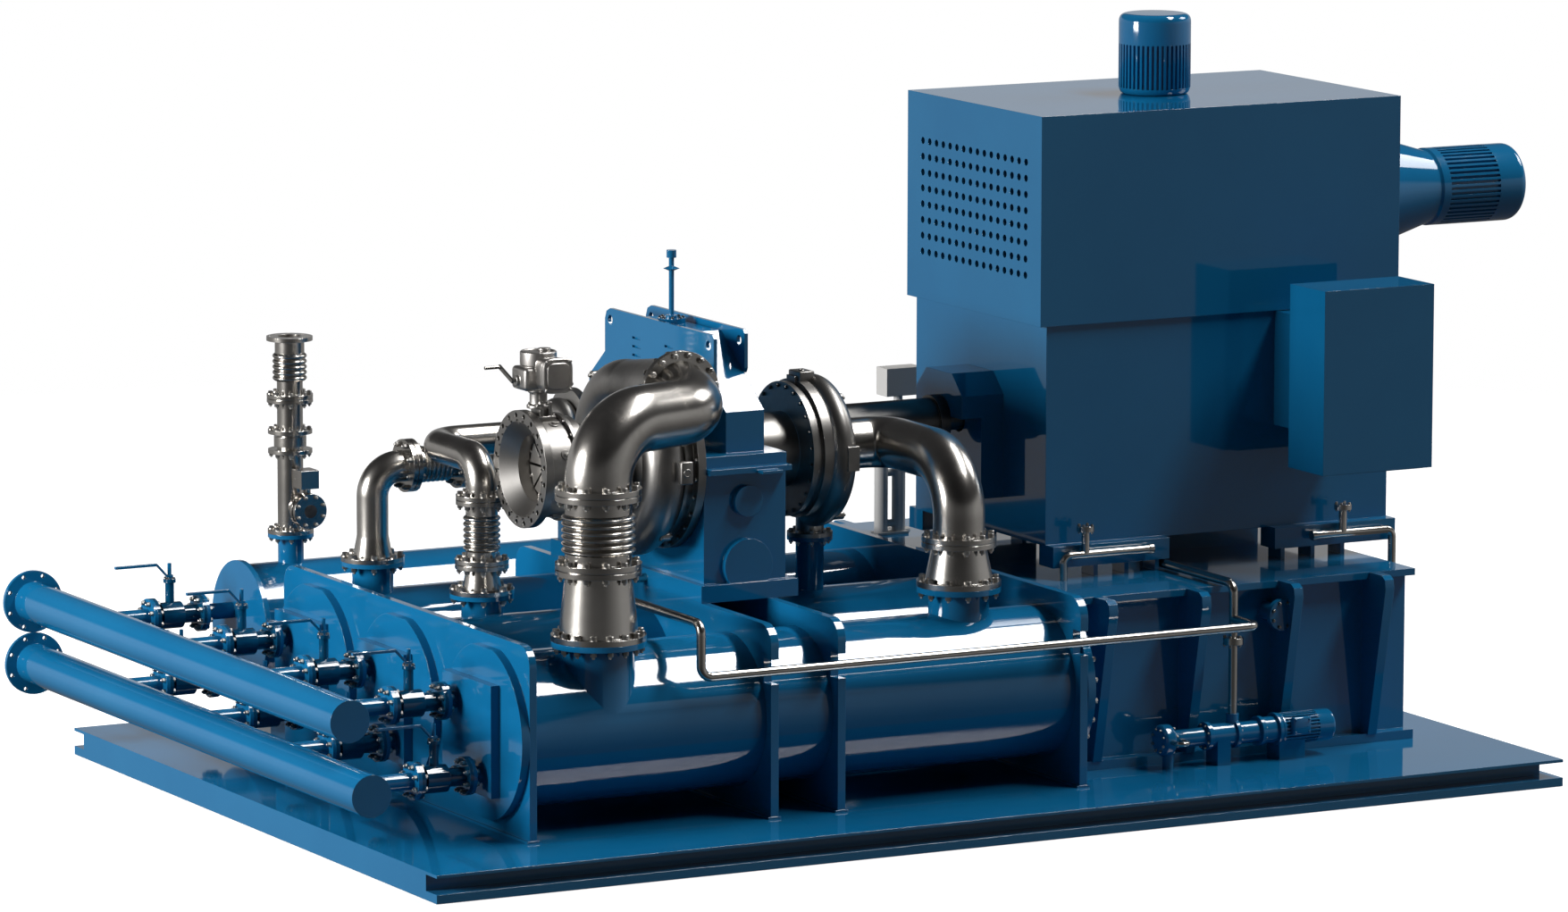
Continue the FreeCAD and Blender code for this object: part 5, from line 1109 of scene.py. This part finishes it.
floorLook = {
    "radius": 15.0,  # metres
    "solid": 0.42,  # share of the radius up to which it is opaque
    "drop": -2.0,  # millimetres
    "rings": 12,
    "sides": 72,
    "clouds": (1.7, 3, 0.5),
    "grey": (0.80, 0.80, 0.80),
    "pale": (0.83, 0.83, 0.83),
    "glow": (0.5, 0.5, 0.5),
    "roughness": 0.9,
    "shine": 0.1,
}


def makeFloor():
    # a pale disc that thins out towards its rim
    look = floorLook
    rings = np.linspace(0, 1, look["rings"]) * look["radius"] / meshLook["scale"]
    points, quads = turned([(look["drop"], r) for r in rings], (0, 0, 0), "z", look["sides"])
    mesh = bpy.data.meshes.new("floor")
    mesh.from_pydata((points * meshLook["scale"]).tolist(), [], quads.tolist())
    material, tree = newFinish("pale_floor")
    place = tree.place()
    reach = tree.add("ShaderNodeVectorMath", {"operation": "LENGTH"}, {0: place}, 1)
    solid = look["radius"] * look["solid"]
    tree.surface({
        "Base Color": tree.mix(tree.noise(place, *look["clouds"]), look["grey"], look["pale"]),
        "Roughness": look["roughness"],
        "Specular IOR Level": look["shine"],
        "Emission Color": look["glow"],
        "Emission Strength": 1.0,
        "Alpha": tree.clamp(reach, solid, look["radius"], 1.0, 0.0),
    })
    mesh.materials.append(material)
    floor = bpy.data.objects.new("floor", mesh)
    bpy.context.scene.collection.objects.link(floor)
    # the room's grey horizon stands in for the floor in the gloss
    floor.visible_glossy = floor.visible_diffuse = False
    floor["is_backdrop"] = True


studio = {
    # what the gloss sees, by height: share of the way from straight down to straight up, and grey
    "room": (
        (0.0, (0.08, 0.08, 0.08)),
        (1.0, (0.030, 0.030, 0.032)),
        (0.30, (0.10, 0.10, 0.10)),
        (0.42, (0.27, 0.27, 0.27)),
        (0.48, (0.40, 0.405, 0.41)),
        (0.58, (0.46, 0.465, 0.47)),
        (0.625, (0.045, 0.046, 0.048)),
    ),
    "farSide": (0.45, 0.89, 0.0),  # the way to the room's bright side
    "farBand": (-0.95, -0.2),  # from darkest to full, as the cosine of the angle to the far side
    "frontShare": 0.21,  # brightness of the darkest part
    "boxes": {
        # position, target, size, power, and the way its second side runs
        "leftBox": ((-15, 1.0, 5.0), (-0.5, 0, 1.2), (5.5, 4.5), 2700, (0, 0, 1)),
        "topBox": ((32.2, -12.2, 61.9), (-0.5, -1.0, 1.0), (12, 52), 46000, (0, 1, 0)),
        "rightBox": ((23.9, 0.0, 17.5), (3.5, 0.0, 3.0), (8, 11), 2400, (0, 1, 0)),
    },
}


def areaLight(name, position, target, size, power, across):
    data = bpy.data.lights.new(name, "AREA")
    data.shape = "RECTANGLE"
    data.size, data.size_y = size
    data.energy = power
    lamp = bpy.data.objects.new(name, data)
    lamp.location = position
    lamp.rotation_mode = "QUATERNION"
    ahead = (Vector(target) - Vector(position)).normalized()
    side = ahead.cross(Vector(across)).normalized()
    turn = Matrix((side, side.cross(ahead), -ahead)).transposed()
    lamp.rotation_quaternion = turn.to_quaternion()
    bpy.context.scene.collection.objects.link(lamp)


def makeStudio():
    # white behind the object, a grey horizon under a dark ceiling in its gloss, three soft boxes
    world = bpy.data.worlds.new("studio")
    bpy.context.scene.world = world
    world.use_nodes = True
    tree = Finish(world.node_tree)
    spot = tree.add("ShaderNodeTexCoord", {}, {}, 0)
    height = tree.add("ShaderNodeSeparateXYZ", {}, {"Vector": spot}, 2)
    ramp = tree.add("ShaderNodeValToRGB", {"stops": studio["room"]}, {"Fac": height * 0.5 + 0.5})
    values = {0: spot, 1: studio["farSide"]}
    toFar = tree.add("ShaderNodeVectorMath", {"operation": "DOT_PRODUCT"}, values, 1)
    strength = tree.clamp(toFar, *studio["farBand"], studio["frontShare"], 1.0)
    room = tree.add("ShaderNodeBackground", {}, {"Color": ramp, "Strength": strength})
    white = tree.add("ShaderNodeBackground", {}, {"Color": (1, 1, 1), "Strength": 1.0})
    seen = tree.add("ShaderNodeLightPath", {}, {}, 0)
    both = tree.add("ShaderNodeMixShader", {}, {0: seen, 1: room, 2: white})
    end = world.node_tree.nodes.new("ShaderNodeOutputWorld")
    world.node_tree.links.new(both.socket, end.inputs["Surface"])
    for name, box in studio["boxes"].items():
        areaLight(name, *box)
    bpy.context.scene.view_settings.view_transform = "Standard"


makeFloor()
makeStudio()
print("floor and studio set")

low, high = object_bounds()
